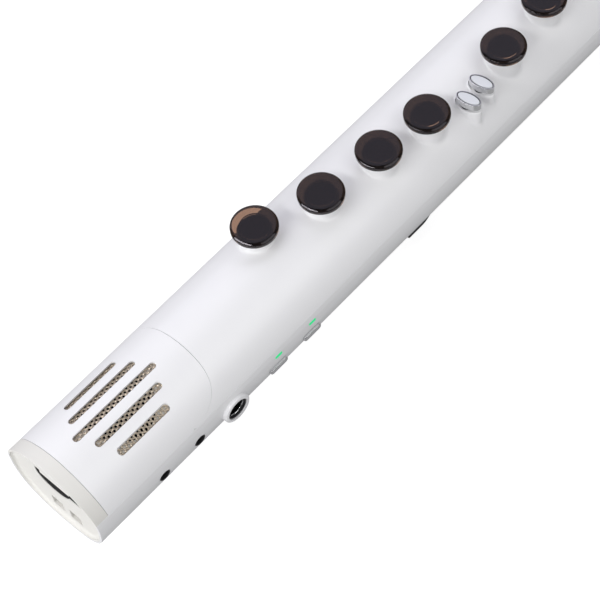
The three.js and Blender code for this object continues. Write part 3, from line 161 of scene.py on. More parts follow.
def rod(radius, start, end, axis, centre, steps=48):
    """A plain round bar, or the hole that takes one."""
    return lathe([(0, start), (radius, start), (radius, end), (0, end)], axis, centre, steps)


def bar(u, v, length, height, steps=12):
    """A closed outline of a bar with round ends, long along its first direction."""
    radius = height / 2
    reach = length / 2 - radius
    angles = [-math.pi / 2 + math.pi * i / steps for i in range(steps + 1)]
    return [
        (u + side * (reach + radius * math.cos(a)), v + side * radius * math.sin(a))
        for side in (1, -1) for a in angles
    ]


def block(u, v, length, height):
    """A closed outline of a rectangle about its middle."""
    return [
        (u + side * length / 2, v + rise * height / 2)
        for side, rise in ((-1, -1), (1, -1), (1, 1), (-1, 1))
    ]


def soften(bm, width, segments=3, where=lambda edge: True, least=50):
    """Rounds the edges that turn by more than an angle."""
    sharp = [
        edge for edge in bm.edges
        if len(edge.link_faces) == 2
        and edge.calc_face_angle(0) > math.radians(least) and where(edge)
    ]
    bmesh.ops.bevel(
        bm, geom=sharp, offset=width, segments=segments, profile=0.5,
        affect="EDGES", material=-1, clamp_overlap=True,
    )
    return bm


def together(*shapes):
    """Several closed shapes in one mesh."""
    whole = bmesh.new()
    for shape in shapes:
        part = bpy.data.meshes.new("part")
        shape.to_mesh(part)
        shape.free()
        whole.from_mesh(part)
        bpy.data.meshes.remove(part)
    return whole


def combine(body, tool, operation):
    """The body with the tool cut out of it, joined to it, or kept in common."""
    holders = []
    for shape in (body, tool):
        mesh = bpy.data.meshes.new("shape")
        shape.to_mesh(mesh)
        shape.free()
        holder = bpy.data.objects.new("shape", mesh)
        scene.collection.objects.link(holder)
        holders.append(holder)
    cut = holders[0].modifiers.new("cut", "BOOLEAN")
    cut.operation, cut.solver, cut.object = operation, "EXACT", holders[1]
    result = bmesh.new()
    result.from_object(holders[0], bpy.context.evaluated_depsgraph_get())
    for holder in holders:
        mesh = holder.data
        bpy.data.objects.remove(holder)
        bpy.data.meshes.remove(mesh)
    bmesh.ops.remove_doubles(result, verts=result.verts, dist=1e-4)
    return result


def piece(bm, name, body, slot, material, *nodes, smooth=40):
    """The finished piece, in metres, riding on its body in place of its solids."""
    bmesh.ops.scale(bm, vec=(MM, MM, MM), verts=bm.verts)
    mesh = bpy.data.meshes.new(name)
    bm.to_mesh(mesh)
    bm.free()
    mesh.shade_smooth()
    mesh.set_sharp_from_angle(angle=math.radians(smooth))
    mesh.materials.append(material)
    made = bpy.data.objects.new(name, mesh)
    scene.collection.objects.link(made)
    level = made.modifiers.new("level_normals", "WEIGHTED_NORMAL")
    level.keep_sharp = True
    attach(made, body)
    if nodes:
        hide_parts(*nodes)
    return made


def plastic(name, colour, roughness, grain=900.0, shift=0.03, bump=0.02, coat=0.0, metallic=0.0):
    """A moulded or plated finish with a faint mottle, a fine grain and uneven gloss."""
    material = bpy.data.materials.new(name)
    material.use_nodes = True
    nodes, links = material.node_tree.nodes, material.node_tree.links
    shader = nodes["Principled BSDF"]
    place = nodes.new("ShaderNodeTexCoord")
    mottle = nodes.new("ShaderNodeTexNoise")
    mottle.inputs["Scale"].default_value = grain / 12
    mottle.inputs["Detail"].default_value = 3
    tint = nodes.new("ShaderNodeMix")
    tint.data_type = "RGBA"
    tint.inputs["A"].default_value = (*[c * (1 - shift) for c in colour], 1)
    tint.inputs["B"].default_value = (*[min(c * (1 + shift), 1) for c in colour], 1)
    links.new(place.outputs["Object"], mottle.inputs["Vector"])
    links.new(mottle.outputs["Fac"], tint.inputs["Factor"])
    links.new(tint.outputs["Result"], shader.inputs["Base Color"])
    gloss = nodes.new("ShaderNodeMapRange")
    gloss.inputs["To Min"].default_value = max(roughness - 0.05, 0.02)
    gloss.inputs["To Max"].default_value = roughness + 0.05
    links.new(mottle.outputs["Fac"], gloss.inputs["Value"])
    links.new(gloss.outputs["Result"], shader.inputs["Roughness"])
    fine = nodes.new("ShaderNodeTexNoise")
    fine.inputs["Scale"].default_value = grain
    relief = nodes.new("ShaderNodeBump")
    relief.inputs["Strength"].default_value = bump
    relief.inputs["Distance"].default_value = 0.0002
    links.new(place.outputs["Object"], fine.inputs["Vector"])
    links.new(fine.outputs["Fac"], relief.inputs["Height"])
    links.new(relief.outputs["Normal"], shader.inputs["Normal"])
    shader.inputs["Metallic"].default_value = metallic
    shader.inputs["Coat Weight"].default_value = coat
    shader.inputs["Coat Roughness"].default_value = 0.12
    return material


pearl = plastic(
    "pearl_white", (0.80, 0.80, 0.815), 0.36, grain=1600, shift=0.012, bump=0.03, coat=0.25,
)


def centre_of(node):
    """The middle of one of the frame's solids, in millimetres."""
    low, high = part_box(node)
    return [(a + b) / 2 / MM for a, b in zip(low, high)]


def arch_z(y, inset=0.0):
    """Height of the arch over a place across the instrument."""
    share = (abs(y) / (half_width - inset)) ** arch_power
    return widest_z + (arch_height - inset) * (1 - share) ** (1 / arch_power)


def end_outline(inset, top_inset):
    """The closed section seen from the bell end."""
    return [*arch(top_inset, widest_z + 1), *belly(inset)[::-1]]


lip_z = crease_z - seam
channel = prism(
    [(half_width - 0.42, lip_z), (half_width - 0.12, widest_z + 1.4), *belly(0)]
    + [(-half_width + 0.12, widest_z + 1.4), (-half_width + 0.42, lip_z)]
    + [(-half_width + wall, lip_z), *belly(wall)[::-1], (half_width - wall, lip_z)],
    "X", bell_x, body_end_x,
)
soften(channel, 0.04)
rim_wall = 0.8
rebate = prism(end_outline(rim_wall, rim_wall), "X", bell_x - 1, bell_x + 3.4)
channel = combine(channel, rebate, "DIFFERENCE")

# Seats for the hook and ring plates, and wells for the screws, all part of the moulding
pad_z = back_z - 0.5
screw_xs = [centre_of(f"shell_screw_{i}")[0] for i in (1, 2, 3, 4)]
plate_screw_xs = [
    centre_of(name)[0] for name in ("thumb_hook_screw", "strap_screw_1", "strap_screw_2")
]
post_radius, thread_radius = 3.85, 1.45
for plate in ("thumb_hook", "strap_ring"):
    (x0, y0, _), (x1, y1, _) = [[value / MM for value in corner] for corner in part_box(plate)]
    seat = prism([(x0, y0), (x1, y0), (x1, y1), (x0, y1)], "Z", pad_z, back_z + wall)
    channel = combine(channel, seat, "UNION")
posts = [rod(post_radius, back_z + 1, top_z - 16.2, up, (x, 0, 0)) for x in screw_xs]
posts += [rod(3.0, back_z + 1, back_z + 6, up, (x, 0, 0)) for x in plate_screw_xs]
output_x = centre_of("output_jack")[0]
collar = lathe(
    [(0, -half_width + wall), (5.5, -half_width + wall), (5.5, -21.3), (5.4, -21.55),
     (5.1, -21.8), (0, -21.8)],
    across, (output_x, 0, socket_z),
)
channel = combine(channel, together(*posts, collar), "UNION")

# Holes for the screws, the octave keys, the sockets, the side buttons and their lamps
outside_y, inside_y = -24.0, -15.0
side_button_z = centre_of("side_button_1")[2]
lamp_z = centre_of("lamp_lens_1")[2]
usb_x, _, usb_z = centre_of("usb_socket")
mini_jacks = ("line_jack", "phones_jack")
holes = []
for x in screw_xs:
    holes.append(lathe(
        [(0, back_z - 3), (2.9, back_z - 3), (2.9, back_z), (2.55, back_z + 0.35),
         (2.55, back_z + 14), (thread_radius, back_z + 14), (thread_radius, back_z + 22),
         (0, back_z + 22)],
        up, (x, 0, 0),
    ))
for x in plate_screw_xs:
    holes.append(rod(thread_radius, pad_z - 2, back_z + 4, up, (x, 0, 0)))
for name in ("octave_key_1", "octave_key_2"):
    holes.append(rod(3.3, back_z - 2, back_z + 4, up, (centre_of(name)[0], 0, 0)))
holes.append(rod(4.2, outside_y, inside_y, across, (output_x, 0, socket_z)))
for name in mini_jacks:
    holes.append(lathe(
        [(0, outside_y), (2.45, outside_y), (2.45, -20.15), (2.3, -19.95), (2.3, inside_y),
         (0, inside_y)],
        across, (centre_of(name)[0], 0, socket_z),
    ))
holes.append(prism(bar(usb_x, usb_z, 9.6, 3.8), "Y", outside_y, inside_y))
for i in (1, 2):
    button_x, lamp_x = centre_of(f"side_button_{i}")[0], centre_of(f"lamp_lens_{i}")[0]
    holes.append(prism(bar(button_x, side_button_z, 8.2, 2.6), "Y", outside_y, inside_y))
    holes.append(prism(bar(lamp_x, lamp_z, 3.4, 1.5), "Y", outside_y, inside_y))
channel = combine(channel, together(*holes), "DIFFERENCE")
piece(channel, "lower_casing", "casing", "pearl_shell", pearl, "lower_shell")


# Upper casing
# The arched cover of the same pearl white plastic, with a round turret under each finger key.
# A turret stops short of its key by the key's travel and guides the key's stem.
joint_x = bell_x + 58.5


def parting(gap):
    """The bell side of the curved joint between the two arched covers."""
    sweep, depth, ends_x = 15.0, 12.85, joint_x - gap
    points = [(bell_x - 2, top_z + 2), (bell_x - 2, crease_z - 3), (ends_x - sweep, crease_z - 3)]
    for i in range(33):
        a = math.pi / 2 * (1 - i / 32)
        points.append((ends_x - sweep * (1 - math.cos(a)), top_z - depth * math.sin(a)))
    points.append((ends_x, top_z + 2))
    return prism(points, "Y", -half_width - 2, half_width + 2)


def boss(x, y, width, length, top, turn=0.0):
    """A round or oval boss that flares where it rises out of the arch."""
    # Each ring has its share of the outline, its flare, its height, and the arch under it or not
    rings = [
        (0, 0, foot_z, 0), (1, 0, foot_z, 0),
        (1, 0, -1.5, 1), (1, 1.0, -0.8, 1), (1, 1.0, -0.05, 1),
    ]
    for i in range(8):
        a = math.pi / 2 * i / 7
        rings.append((1, 0.9 * (1 - math.sin(a)), 0.9 * (1 - math.cos(a)), 1))
    rings += [(1, 0, top - 0.5, 0), (0.985, 0, top - 0.2, 0), (0.95, 0, top, 0), (0, 0, top, 0)]
    profile = [(share + flare, i) for i, (share, flare, _, _) in enumerate(rings)]
    bm = lathe(profile, up, (0, 0, 0), steps=72)
    for v in bm.verts:
        share, flare, height, on_arch = rings[round(v.co.z)]
        a = math.atan2(v.co.y, v.co.x)
        u, w = (share * width / 2 + flare) * math.cos(a), (share * length / 2 + flare) * math.sin(a)
        v.co.x = x + u * math.cos(turn) - w * math.sin(turn)
        v.co.y = y + u * math.sin(turn) + w * math.cos(turn)
        v.co.z = height + on_arch * arch_z(v.co.y)
    return bm


def vault(thickness, start, end):
    """A length of arched cover, open below."""
    return prism(arch(0, edge_z) + arch(thickness, edge_z)[::-1], "X", start, end)


discs = [f"key_disc_{i}" for i in range(1, 8)]
ovals = ["oval_key_1", "oval_key_2"]
functions = ["function_button_1", "function_button_2"]
foot_z, turret_top = top_z - 8.9, top_z + 2.8
oval_turn = math.radians(8)


def oval(x, y, length, width):
    """A closed ellipse, long across the instrument and turned a little."""
    points = []
    for i in range(64):
        a = 2 * math.pi * i / 64
        u, v = width / 2 * math.cos(a), length / 2 * math.sin(a)
        points.append((
            x + u * math.cos(oval_turn) - v * math.sin(oval_turn),
            y + u * math.sin(oval_turn) + v * math.cos(oval_turn),
        ))
    return points


edge_z = lip_z + 0.03
cover = vault(wall, bell_x + 43.8, body_end_x)
soften(cover, 0.04)
cover = combine(cover, parting(0.1), "DIFFERENCE")
turrets = []
for name in discs:
    x, y, _ = centre_of(name)
    turrets.append(boss(x, y, 12.2, 12.2, turret_top))
for name in functions:
    x, y, _ = centre_of(name)
    turrets.append(rod(3.8, foot_z, top_z - 1, up, (x, y, 0)))
for x in screw_xs:
    turrets.append(rod(post_radius, top_z - 12.9, top_z - 1, up, (x, 0, 0)))
cover = combine(cover, together(*turrets), "UNION")
for name in ovals:
    x, y, _ = centre_of(name)
    cover = combine(cover, boss(x, y - 0.4, 5.6, 10.1, top_z - 1.0, oval_turn), "UNION")
wells = []
for name in discs:
    x, y, _ = centre_of(name)
    wells.append(lathe(
        [(0, foot_z - 2), (5.15, foot_z - 2), (5.15, turret_top - 0.3), (5.45, turret_top),
         (5.45, top_z + 6), (0, top_z + 6)],
        up, (x, y, 0),
    ))
for name in ovals:
    x, y, _ = centre_of(name)
    wells.append(rod(2.3, foot_z - 2, top_z + 6, up, (x, y, 0)))
for name in functions:
    x, y, _ = centre_of(name)
    wells.append(lathe(
        [(0, foot_z - 2), (2.3, foot_z - 2), (2.3, top_z - 0.8), (4.0, top_z - 0.8),
         (4.0, top_z - 0.25), (4.3, top_z + 0.05), (4.3, top_z + 3), (0, top_z + 3)],
        up, (x, y, 0),
    ))
for x in screw_xs:
    wells.append(rod(thread_radius, top_z - 15, top_z - 5.7, up, (x, 0, 0), steps=24))
cover = combine(cover, together(*wells), "DIFFERENCE")
piece(cover, "upper_casing", "casing", "pearl_shell", pearl, "upper_shell")


# Bell cover
# The short arched cover over the loudspeaker, moulded in the same plastic, with five round-ended
# slots that are longest in the middle. It can be taken off, so a fine joint runs round it.
slot_pitch, slot_width = 5.9, 2.5
slot_lengths = [22.0, 28.4, 35.5, 28.4, 22.0]
slot_x = bell_x + 30.6
cover_wall, slot_wall = 1.2, 0.8
sheet_half = 14.4
bell = vault(cover_wall, bell_x + 5.1, joint_x)
soften(bell, 0.04)
bell = combine(bell, parting(0.25), "INTERSECT")
slots = together(*[
    prism(bar(slot_x, (i - 2) * slot_pitch, length, slot_width), "Z", widest_z, top_z + 3)
    for i, length in enumerate(slot_lengths)
])
bell = combine(bell, slots, "DIFFERENCE")
ys = [sheet_half * (1 - i / 24) for i in range(49)]
thinner = prism(
    [(y, arch_z(y, slot_wall)) for y in ys] + [(y, arch_z(y, 3.0)) for y in ys[::-1]],
    "X", bell_x + 9.4, bell_x + 51.8,
)
bell = combine(bell, thinner, "DIFFERENCE")
piece(bell, "bell_casing", "casing", "pearl_shell", pearl, "bell_cover")


# Bell end cap
# A warm white moulding: a narrow arched band that carries on the bell cover's line, and a coved
# end plate inside the rim. A wide mouth under a straight lip lets sound out through black cloth,
# whose near-black also paints the shade of the hollow behind the mouth, and two pockets take a tool.
cream = plastic("warm_white", (0.715, 0.705, 0.675), 0.5, grain=1400, shift=0.015, bump=0.05)
plate_x, plate_back = bell_x + 1.25, bell_x + 3.1
mouth_y, mouth_half, mouth_bowl = 0.6, 7.3, 5.2
mouth_side, mouth_top = top_z - 12.1, top_z - 9.0
pocket_middles = ((2.2, top_z - 28.7), (-5.8, top_z - 28.7))

band = vault(rim_wall, bell_x, bell_x + 5.0)
soften(band, 0.08)

# The plate's face, drawn in ring by ring from its wall at the rim to its flat middle
plate = bmesh.new()
rim_line = end_outline(rim_wall + 0.04, rim_wall / 2)
face = plate.faces.new([plate.verts.new((plate_back, y, z)) for y, z in rim_line])
cove = [(0, bell_x + 0.1), (0.5, bell_x + 0.1)]
cove += [
    (0.5 + 1.3 * (1 - math.cos(a)), bell_x + 0.1 + (plate_x - bell_x - 0.1) * math.sin(a))
    for a in [math.pi * i / 16 for i in range(1, 9)]
]
inset_before = 0.0
for step, (inset, x) in enumerate(cove):
    grown = bmesh.ops.extrude_face_region(plate, geom=[face])
    if step:
        bmesh.ops.delete(plate, geom=[face], context="FACES_ONLY")
    face = next(g for g in grown["geom"] if isinstance(g, bmesh.types.BMFace))
    for v in face.verts:
        reach = arch_height if v.co.z > widest_z else belly_depth
        v.co.x = x
        v.co.y *= (half_width - inset) / (half_width - inset_before)
        v.co.z = widest_z + (v.co.z - widest_z) * (reach - inset) / (reach - inset_before)
    inset_before = inset
bmesh.ops.recalc_face_normals(plate, faces=plate.faces)
cap = combine(band, plate, "UNION")
lip = prism(end_outline(rim_wall / 2, rim_wall / 2), "X", bell_x, bell_x + 2.4)
lip = combine(lip, prism(
    [(-9.8, top_z - 5.2), (2.9, top_z - 5.2), (2.9, top_z + 2), (-9.8, top_z + 2)],
    "X", bell_x - 1, bell_x + 4,
), "INTERSECT")
soften(lip, 0.15, where=lambda e: min(v.co.z for v in e.verts) < top_z - 4)
cap = combine(cap, lip, "UNION")
for y, z in pocket_middles:
    box = prism(block(y, z, 6.2, 7.2), "X", plate_x + 0.3, bell_x + 5.4)
    cap = combine(cap, soften(box, 0.2), "UNION")


def mouth(margin):
    """A slot with a level top, a wide bowl below, and a tail that tapers along the rim."""
    half, bowl = mouth_half + margin, mouth_bowl + margin
    # The bowl stops short of its half turn, where the tail leaves it
    bowl_line = [(mouth_y + half, mouth_top + margin)]
    bowl_line += [
        (mouth_y + half * math.cos(a), mouth_side + bowl * math.sin(a))
        for a in [-math.pi * i / 40 for i in range(37)]
    ]
    tail = [
        (-6.5 - margin, top_z - 13.5 - 0.4 * margin),
        (-11.9 - margin, top_z - 13.1 - 0.4 * margin),
        (-11.9 - margin, top_z - 12.0 + margin),
        (-6.7 - margin, mouth_top + margin),
    ]
    return bowl_line + tail


front = prism(mouth(0), "X", bell_x - 1, bell_x + 4)
behind = prism(mouth(1.0), "X", plate_x + 0.2, bell_x + 4)
cap = combine(cap, combine(front, behind, "UNION"), "DIFFERENCE")
pockets = [
    soften(prism(block(y, z, 5.0, 5.8), "X", bell_x - 1, plate_x + 3.2), 0.3)
    for y, z in pocket_middles
]
cap = combine(cap, together(*pockets), "DIFFERENCE")
piece(cap, "bell_cap", "casing", "cream_cap", cream, "bell_end_cap")

black = plastic("black_moulding", (0.018, 0.018, 0.02), 0.42, grain=1200, shift=0.1, bump=0.06)
# Near-black cloth behind the mouth: partly the real cloth, partly painted shade of the hollow behind
# it.
cloth_and_shade = plastic("black_cloth_and_shade", (0.006, 0.006, 0.007), 0.95, grain=3500, shift=0.3, bump=0.4)
mouth_cloth_and_shade = soften(prism(mouth(0.9), "X", plate_x + 0.25, plate_x + 0.7), 0.05, segments=2)
piece(mouth_cloth_and_shade, "mouth_cloth_and_shade", "casing", "cone_paper", cloth_and_shade)


# Grille sheet
# Thin bronze-toned steel sheet behind the slots, punched with round holes of 0.85 mm. The rows run
# across the instrument, every other one staggered. It is rolled to the inside of the bell cover.
steel = plastic(
    "plain_steel", (0.60, 0.585, 0.56), 0.34, grain=700, shift=0.08, bump=0.05, metallic=1.0,
)
bronze = plastic(
    "bronze_toned_steel", (0.62, 0.53, 0.42), 0.3, grain=700, shift=0.1, bump=0.05, metallic=1.0,
)
hole_pitch, row_pitch, hole_width = 1.44, 1.25, 0.85
sheet_x0, sheet_length = bell_x + 9.6, 42.0
columns = round(sheet_length / row_pitch)
cells = round(2 * sheet_half / hole_pitch)

sheet = bmesh.new()
for column in range(columns):
    # One row of square cells across, each with an eight-sided hole through its middle
    strip = bmesh.new()
    bmesh.ops.create_grid(strip, x_segments=1, y_segments=cells, size=0.5)
    bmesh.ops.scale(strip, vec=(hole_pitch, cells * hole_pitch, 1), verts=strip.verts)
    walls = bmesh.ops.inset_individual(
        strip, faces=strip.faces, thickness=(hole_pitch - hole_width) / 2, use_even_offset=True,
    )
    corners = [v for f in strip.faces if f not in walls["faces"] for v in f.verts]
    bmesh.ops.bevel(
        strip, geom=corners, offset=0.29 * hole_width, segments=1, profile=0.5,
        affect="VERTICES", material=-1,
    )
    punched = [f for f in strip.faces if len(f.verts) >= 8 and f.calc_area() > 0.4]
    bmesh.ops.delete(strip, geom=punched, context="FACES")
    for v in strip.verts:
        if abs(v.co.x) > 0.49 * hole_pitch:
            v.co.x = math.copysign(row_pitch / 2, v.co.x)
    stagger = hole_pitch / 4 * (1 if column % 2 else -1)
    bmesh.ops.translate(
        strip, verts=strip.verts, vec=(sheet_x0 + (column + 0.5) * row_pitch, stagger, 0),
    )
    part = bpy.data.meshes.new("strip")
    strip.to_mesh(part)
    strip.free()
    sheet.from_mesh(part)
    bpy.data.meshes.remove(part)
for v in sheet.verts:
    v.co.z = arch_z(v.co.y, slot_wall + 0.35)
bmesh.ops.recalc_face_normals(sheet, faces=sheet.faces)
grille = piece(sheet, "grille_sheet", "casing", "steel", bronze, "speaker_grille")
grille.modifiers.clear()
gauge = grille.modifiers.new("gauge", "SOLIDIFY")
gauge.thickness, gauge.offset = 0.5 * MM, 0

# The pale foam that seats the sheet on the baffle, open over the loudspeaker
ys = [(sheet_half - 0.4) * (1 - i / 24) for i in range(49)]
foam = prism(
    [(y, arch_z(y, slot_wall + 0.65)) for y in ys]
    + [(y, arch_z(y, slot_wall + 1.0)) for y in ys[::-1]],
    "X", sheet_x0 + 0.4, sheet_x0 + sheet_length - 0.4,
)
opening = rod(12.3, widest_z, top_z + 2, up, (slot_x, 0, 0), steps=72)
foam = combine(foam, opening, "DIFFERENCE")
foam_white = plastic("pale_foam", (0.72, 0.70, 0.66), 0.9, grain=2500, shift=0.1, bump=0.3)
piece(foam, "grille_foam", "casing", "silicone", foam_white)


# Loudspeaker and baffle
# A small loudspeaker under a black baffle: pressed steel basket, black paper cone, round magnet.
# They are the frame's own solids, seen only as shadow behind the grille.
cone_paper = plastic("cone_paper", (0.03, 0.03, 0.033), 0.9, grain=2500, shift=0.25, bump=0.3)


def dress(node, material):
    """Gives a solid of the frame its finish."""
    slots_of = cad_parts[node].data.materials
    slots_of.clear()
    slots_of.append(material)


for node, finish in (
    ("speaker_baffle", black),
    ("speaker_basket", steel),
    ("speaker_magnet", steel),
    ("speaker_cone", cone_paper),
):
    dress(node, finish)


# Finger keys
# Seven round keys: a disc of smoked see-through plastic with a polished, rounded rim, pressed
# onto a dark stem that runs down through its turret to a rubber dome.
smoked = plastic("smoked_plastic", (0.038, 0.022, 0.0145), 0.02, grain=300, shift=0.02, bump=0.0)
smoked_shader = smoked.node_tree.nodes["Principled BSDF"]
smoked_shader.inputs["Transmission Weight"].default_value = 1.0
smoked_shader.inputs["IOR"].default_value = 1.49
smoked_shader.inputs["Specular IOR Level"].default_value = 1.0
smoked_shader.inputs["Specular Tint"].default_value = (0.97, 0.92, 1, 1)
graphite = plastic("dark_stem", (0.012, 0.012, 0.03), 0.6, shift=0.1, bump=0.0)

# The rim's edge in three arcs: a round underside, a tight turn, and an easy one onto the top
disc_foot = top_z + 4.3
slope = math.radians(55)
rim = []
for middle_radius, middle_z, curve, first, last, steps in (
    (7.3, 0.7, 0.7, -math.pi / 2, -math.pi / 12, 5),
    (7.5, 1.569, 0.5, 0, slope, 6),
    (6.902, 1.5, 0.9, slope, math.pi / 2, 5),
):
    for step in range(steps + 1):
        a = first + (last - first) * step / steps
        rim.append((middle_radius + curve * math.cos(a), middle_z + curve * math.sin(a)))

for i, name in enumerate(discs, start=1):
    x, y, _ = centre_of(name)
    body = f"key_{i}"
    disc = lathe(
        [(0, 0.7), (5.1, 0.7), (5.1, 0.0), *rim, (6.5, 2.38), (5.7, 2.33), (0, 2.3)],
        up, (x, y, disc_foot), steps=96,
    )
    piece(disc, f"finger_disc_{i}", body, "smoked_disc", smoked, name, smooth=50)
    stem = lathe(
        [(0, top_z - 11.1), (2.0, top_z - 11.1), (2.0, top_z - 10.4), (5.6, top_z - 10.4),
         (5.6, top_z - 9.2), (4.85, top_z - 9.2), (4.85, disc_foot + 0.2), (4.6, disc_foot + 0.4),
         (3.3, disc_foot + 0.4), (2.9, disc_foot + 0.1), (0, disc_foot)],
        up, (x, y, 0),
    )
    piece(stem, f"finger_stem_{i}", body, "graphite_stem", graphite, f"key_stem_{i}")


# Oval keys
# Two small keys for the little finger, each a dull plated oval cup that holds a satin oval cap on
# a black seat that paints the shade of the groove, so a dark line runs round the cap.
chrome = plastic(
    "bright_plating", (0.86, 0.87, 0.89), 0.09, grain=500, shift=0.01, bump=0.004, metallic=1.0,
)
dull_chrome = plastic(
    "dull_chrome", (0.74, 0.745, 0.755), 0.22, grain=600, shift=0.02, bump=0.01, metallic=1.0,
)
satin_plating = plastic(
    "satin_plating", (0.74, 0.76, 0.79), 0.34, shift=0.04, bump=0.05, metallic=0.3,
)
# The flanged foot that keeps a small key in its well
small_foot = [
    (0, foot_z - 1.2), (2.6, foot_z - 1.2), (2.6, foot_z - 0.3), (2.0, foot_z - 0.3),
]

for i, name in enumerate(ovals, start=1):
    x, y, _ = centre_of(name)
    ring_z, cup_y = top_z + 0.3, y - 0.4
    ring = soften(prism(oval(x, cup_y, 9.5, 5.0), "Z", ring_z - 0.2, ring_z + 2.4), 0.12)
    well = prism(oval(x, cup_y, 8.9, 4.4), "Z", ring_z + 1.5, ring_z + 3)
    ring = combine(ring, well, "DIFFERENCE")
    # The black seat is painted shade: it makes the groove round the cap read dark.
    seat = prism(oval(x, cup_y, 8.8, 4.3), "Z", ring_z + 1.45, ring_z + 1.8)
    soften(seat, 0.03, segments=2)
    cap_oval = soften(prism(oval(x, cup_y, 8.2, 3.6), "Z", ring_z + 1.7, ring_z + 2.5), 0.12)
    shank = lathe(
        [*small_foot, (2.0, ring_z + 0.6), (0, ring_z + 0.6)], up, (x, y, 0),
    )
    base = combine(ring, shank, "UNION")
    piece(base, f"oval_key_cup_{i}", f"oval_{i}", "chrome_trim", dull_chrome, name)
    piece(seat, f"oval_key_shade_seat_{i}", f"oval_{i}", "black_plastic", black)
    piece(cap_oval, f"oval_key_top_{i}", f"oval_{i}", "chrome_trim", satin_plating)


# Function buttons
# Two domed grey rubber buttons on the upper front, each in a round well in the casing.
grey_rubber = plastic("grey_rubber", (0.33, 0.335, 0.345), 0.62, grain=2200, shift=0.06, bump=0.12)

for i, name in enumerate(functions, start=1):
    x, y, _ = centre_of(name)
    button = lathe(
        [*small_foot, (2.0, top_z - 0.1), (3.7, top_z - 0.1), (3.7, top_z + 0.75),
         (3.55, top_z + 1.1), (3.2, top_z + 1.3), (2.2, top_z + 1.38), (0, top_z + 1.4)],
        up, (x, y, 0),
    )
    piece(button, f"function_cap_{i}", f"function_{i}", "grey_button", grey_rubber, name)


# Side buttons and lamps
# Two long plated buttons on the socket side. Over each one a small lens carries a green light.
lens_green = plastic("lit_lens", (0.005, 0.10, 0.04), 0.35, grain=500, shift=0.02, bump=0.0)
lens_shader = lens_green.node_tree.nodes["Principled BSDF"]
lens_shader.inputs["Specular IOR Level"].default_value = 0.2
lens_shader.inputs["Emission Color"].default_value = (0.02, 0.66, 0.23, 1)
lens_shader.inputs["Emission Strength"].default_value = 1.0

for i in (1, 2):
    x = centre_of(f"side_button_{i}")[0]
    shank = prism(bar(x, side_button_z, 8.0, 2.4), "Y", -21.0, -16.8)
    flange = prism(bar(x, side_button_z, 9.6, 2.0), "Y", -17.1, -16.2)
    soften(shank, 0.3, segments=4, where=lambda e: max(v.co.y for v in e.verts) < -20.9)
    button = together(shank, flange)
    piece(button, f"side_key_{i}", f"side_{i}", "chrome_trim", dull_chrome, f"side_button_{i}")
    lens_x = centre_of(f"lamp_lens_{i}")[0]
    lens = prism(bar(lens_x, lamp_z, 3.2, 1.3, steps=8), "Y", -20.55, -18.1)
    soften(lens, 0.2, where=lambda e: max(v.co.y for v in e.verts) < -20)
    piece(lens, f"lamp_{i}", "casing", "green_lamp", lens_green, f"lamp_lens_{i}")


# Sockets
# Two small black sockets, a large one with a black bush and a plated sleeve in the white collar,
# and a flat one for power and data nearer the mouthpiece.
for name in mini_jacks:
    x = centre_of(name)[0]
    nose = lathe(
        [(1.75, -14), (1.75, -19.7), (1.85, -20.0), (2.15, -20.1), (2.2, -19.8), (2.2, -16.4),
         (3.0, -16.4), (3.0, -14), (1.75, -14)],
        across, (x, 0, socket_z),
    )
    case = prism(block(x, socket_z, 6.4, 6.0), "Y", -16.7, -7.6)
    case = combine(case, rod(1.75, -18, -9.6, across, (x, 0, socket_z)), "DIFFERENCE")
    piece(together(nose, case), f"{name}_case", "casing", "black_plastic", black, name)

bush = lathe(
    [(3.65, -17), (3.65, -21.2), (3.75, -21.4), (4.0, -21.4), (4.1, -21.2), (4.1, -17),
     (3.65, -17)],
    across, (output_x, 0, socket_z),
)
piece(bush, "output_bush", "casing", "black_plastic", black)
sleeve = lathe(
    [(3.15, -16.5), (3.15, -20.3), (3.35, -20.6), (3.6, -20.6), (3.6, -16.5), (3.15, -16.5)],
    across, (output_x, 0, socket_z),
)
piece(sleeve, "output_sleeve", "casing", "steel", chrome, "output_jack")
case = prism(block(output_x, socket_z, 13.0, 12.0), "Y", -15.4, 9.6)
case = combine(case, rod(3.2, -18, 7.6, across, (output_x, 0, socket_z)), "DIFFERENCE")
piece(case, "output_case", "casing", "black_plastic", black)

usb_shell = prism(bar(usb_x, usb_z, 9.0, 3.2), "Y", -20.1, -12.7)
usb_shell = combine(usb_shell, prism(bar(usb_x, usb_z, 8.2, 2.4), "Y", -22, -13.5), "DIFFERENCE")
soften(usb_shell, 0.1, segments=2, where=lambda e: max(v.co.y for v in e.verts) < -20)
piece(usb_shell, "usb_shell", "casing", "steel", steel, "usb_socket")
tongue = prism(block(usb_x, usb_z, 6.4, 0.7), "Y", -19.4, -13.5)
piece(soften(tongue, 0.1, segments=2), "usb_tongue", "casing", "black_plastic", black)


# Inner parts
# Boards, breath sensor with its hose, and the battery cell are the frame's own solids with their
# real finishes. The silicone switch membrane is a sheet with a hollow dome under each finger key.
board_green = plastic("board_laminate", (0.02, 0.12, 0.06), 0.4, grain=600, shift=0.2, bump=0.05)
silicone = plastic("silicone", (0.55, 0.57, 0.57), 0.55, shift=0.04, bump=0.03)
cell_wrap = plastic("cell_wrap", (0.04, 0.13, 0.36), 0.3, grain=200, shift=0.05, bump=0.02)
sensor_white = plastic("sensor_case", (0.72, 0.71, 0.67), 0.5, bump=0.03)
for node, finish in (
    ("breath_hose", silicone),
    ("main_board", board_green), ("side_board", board_green),
    ("jack_board", board_green), ("octave_board", board_green),
    ("breath_sensor", sensor_white), ("battery_cell", cell_wrap),
):
    dress(node, finish)

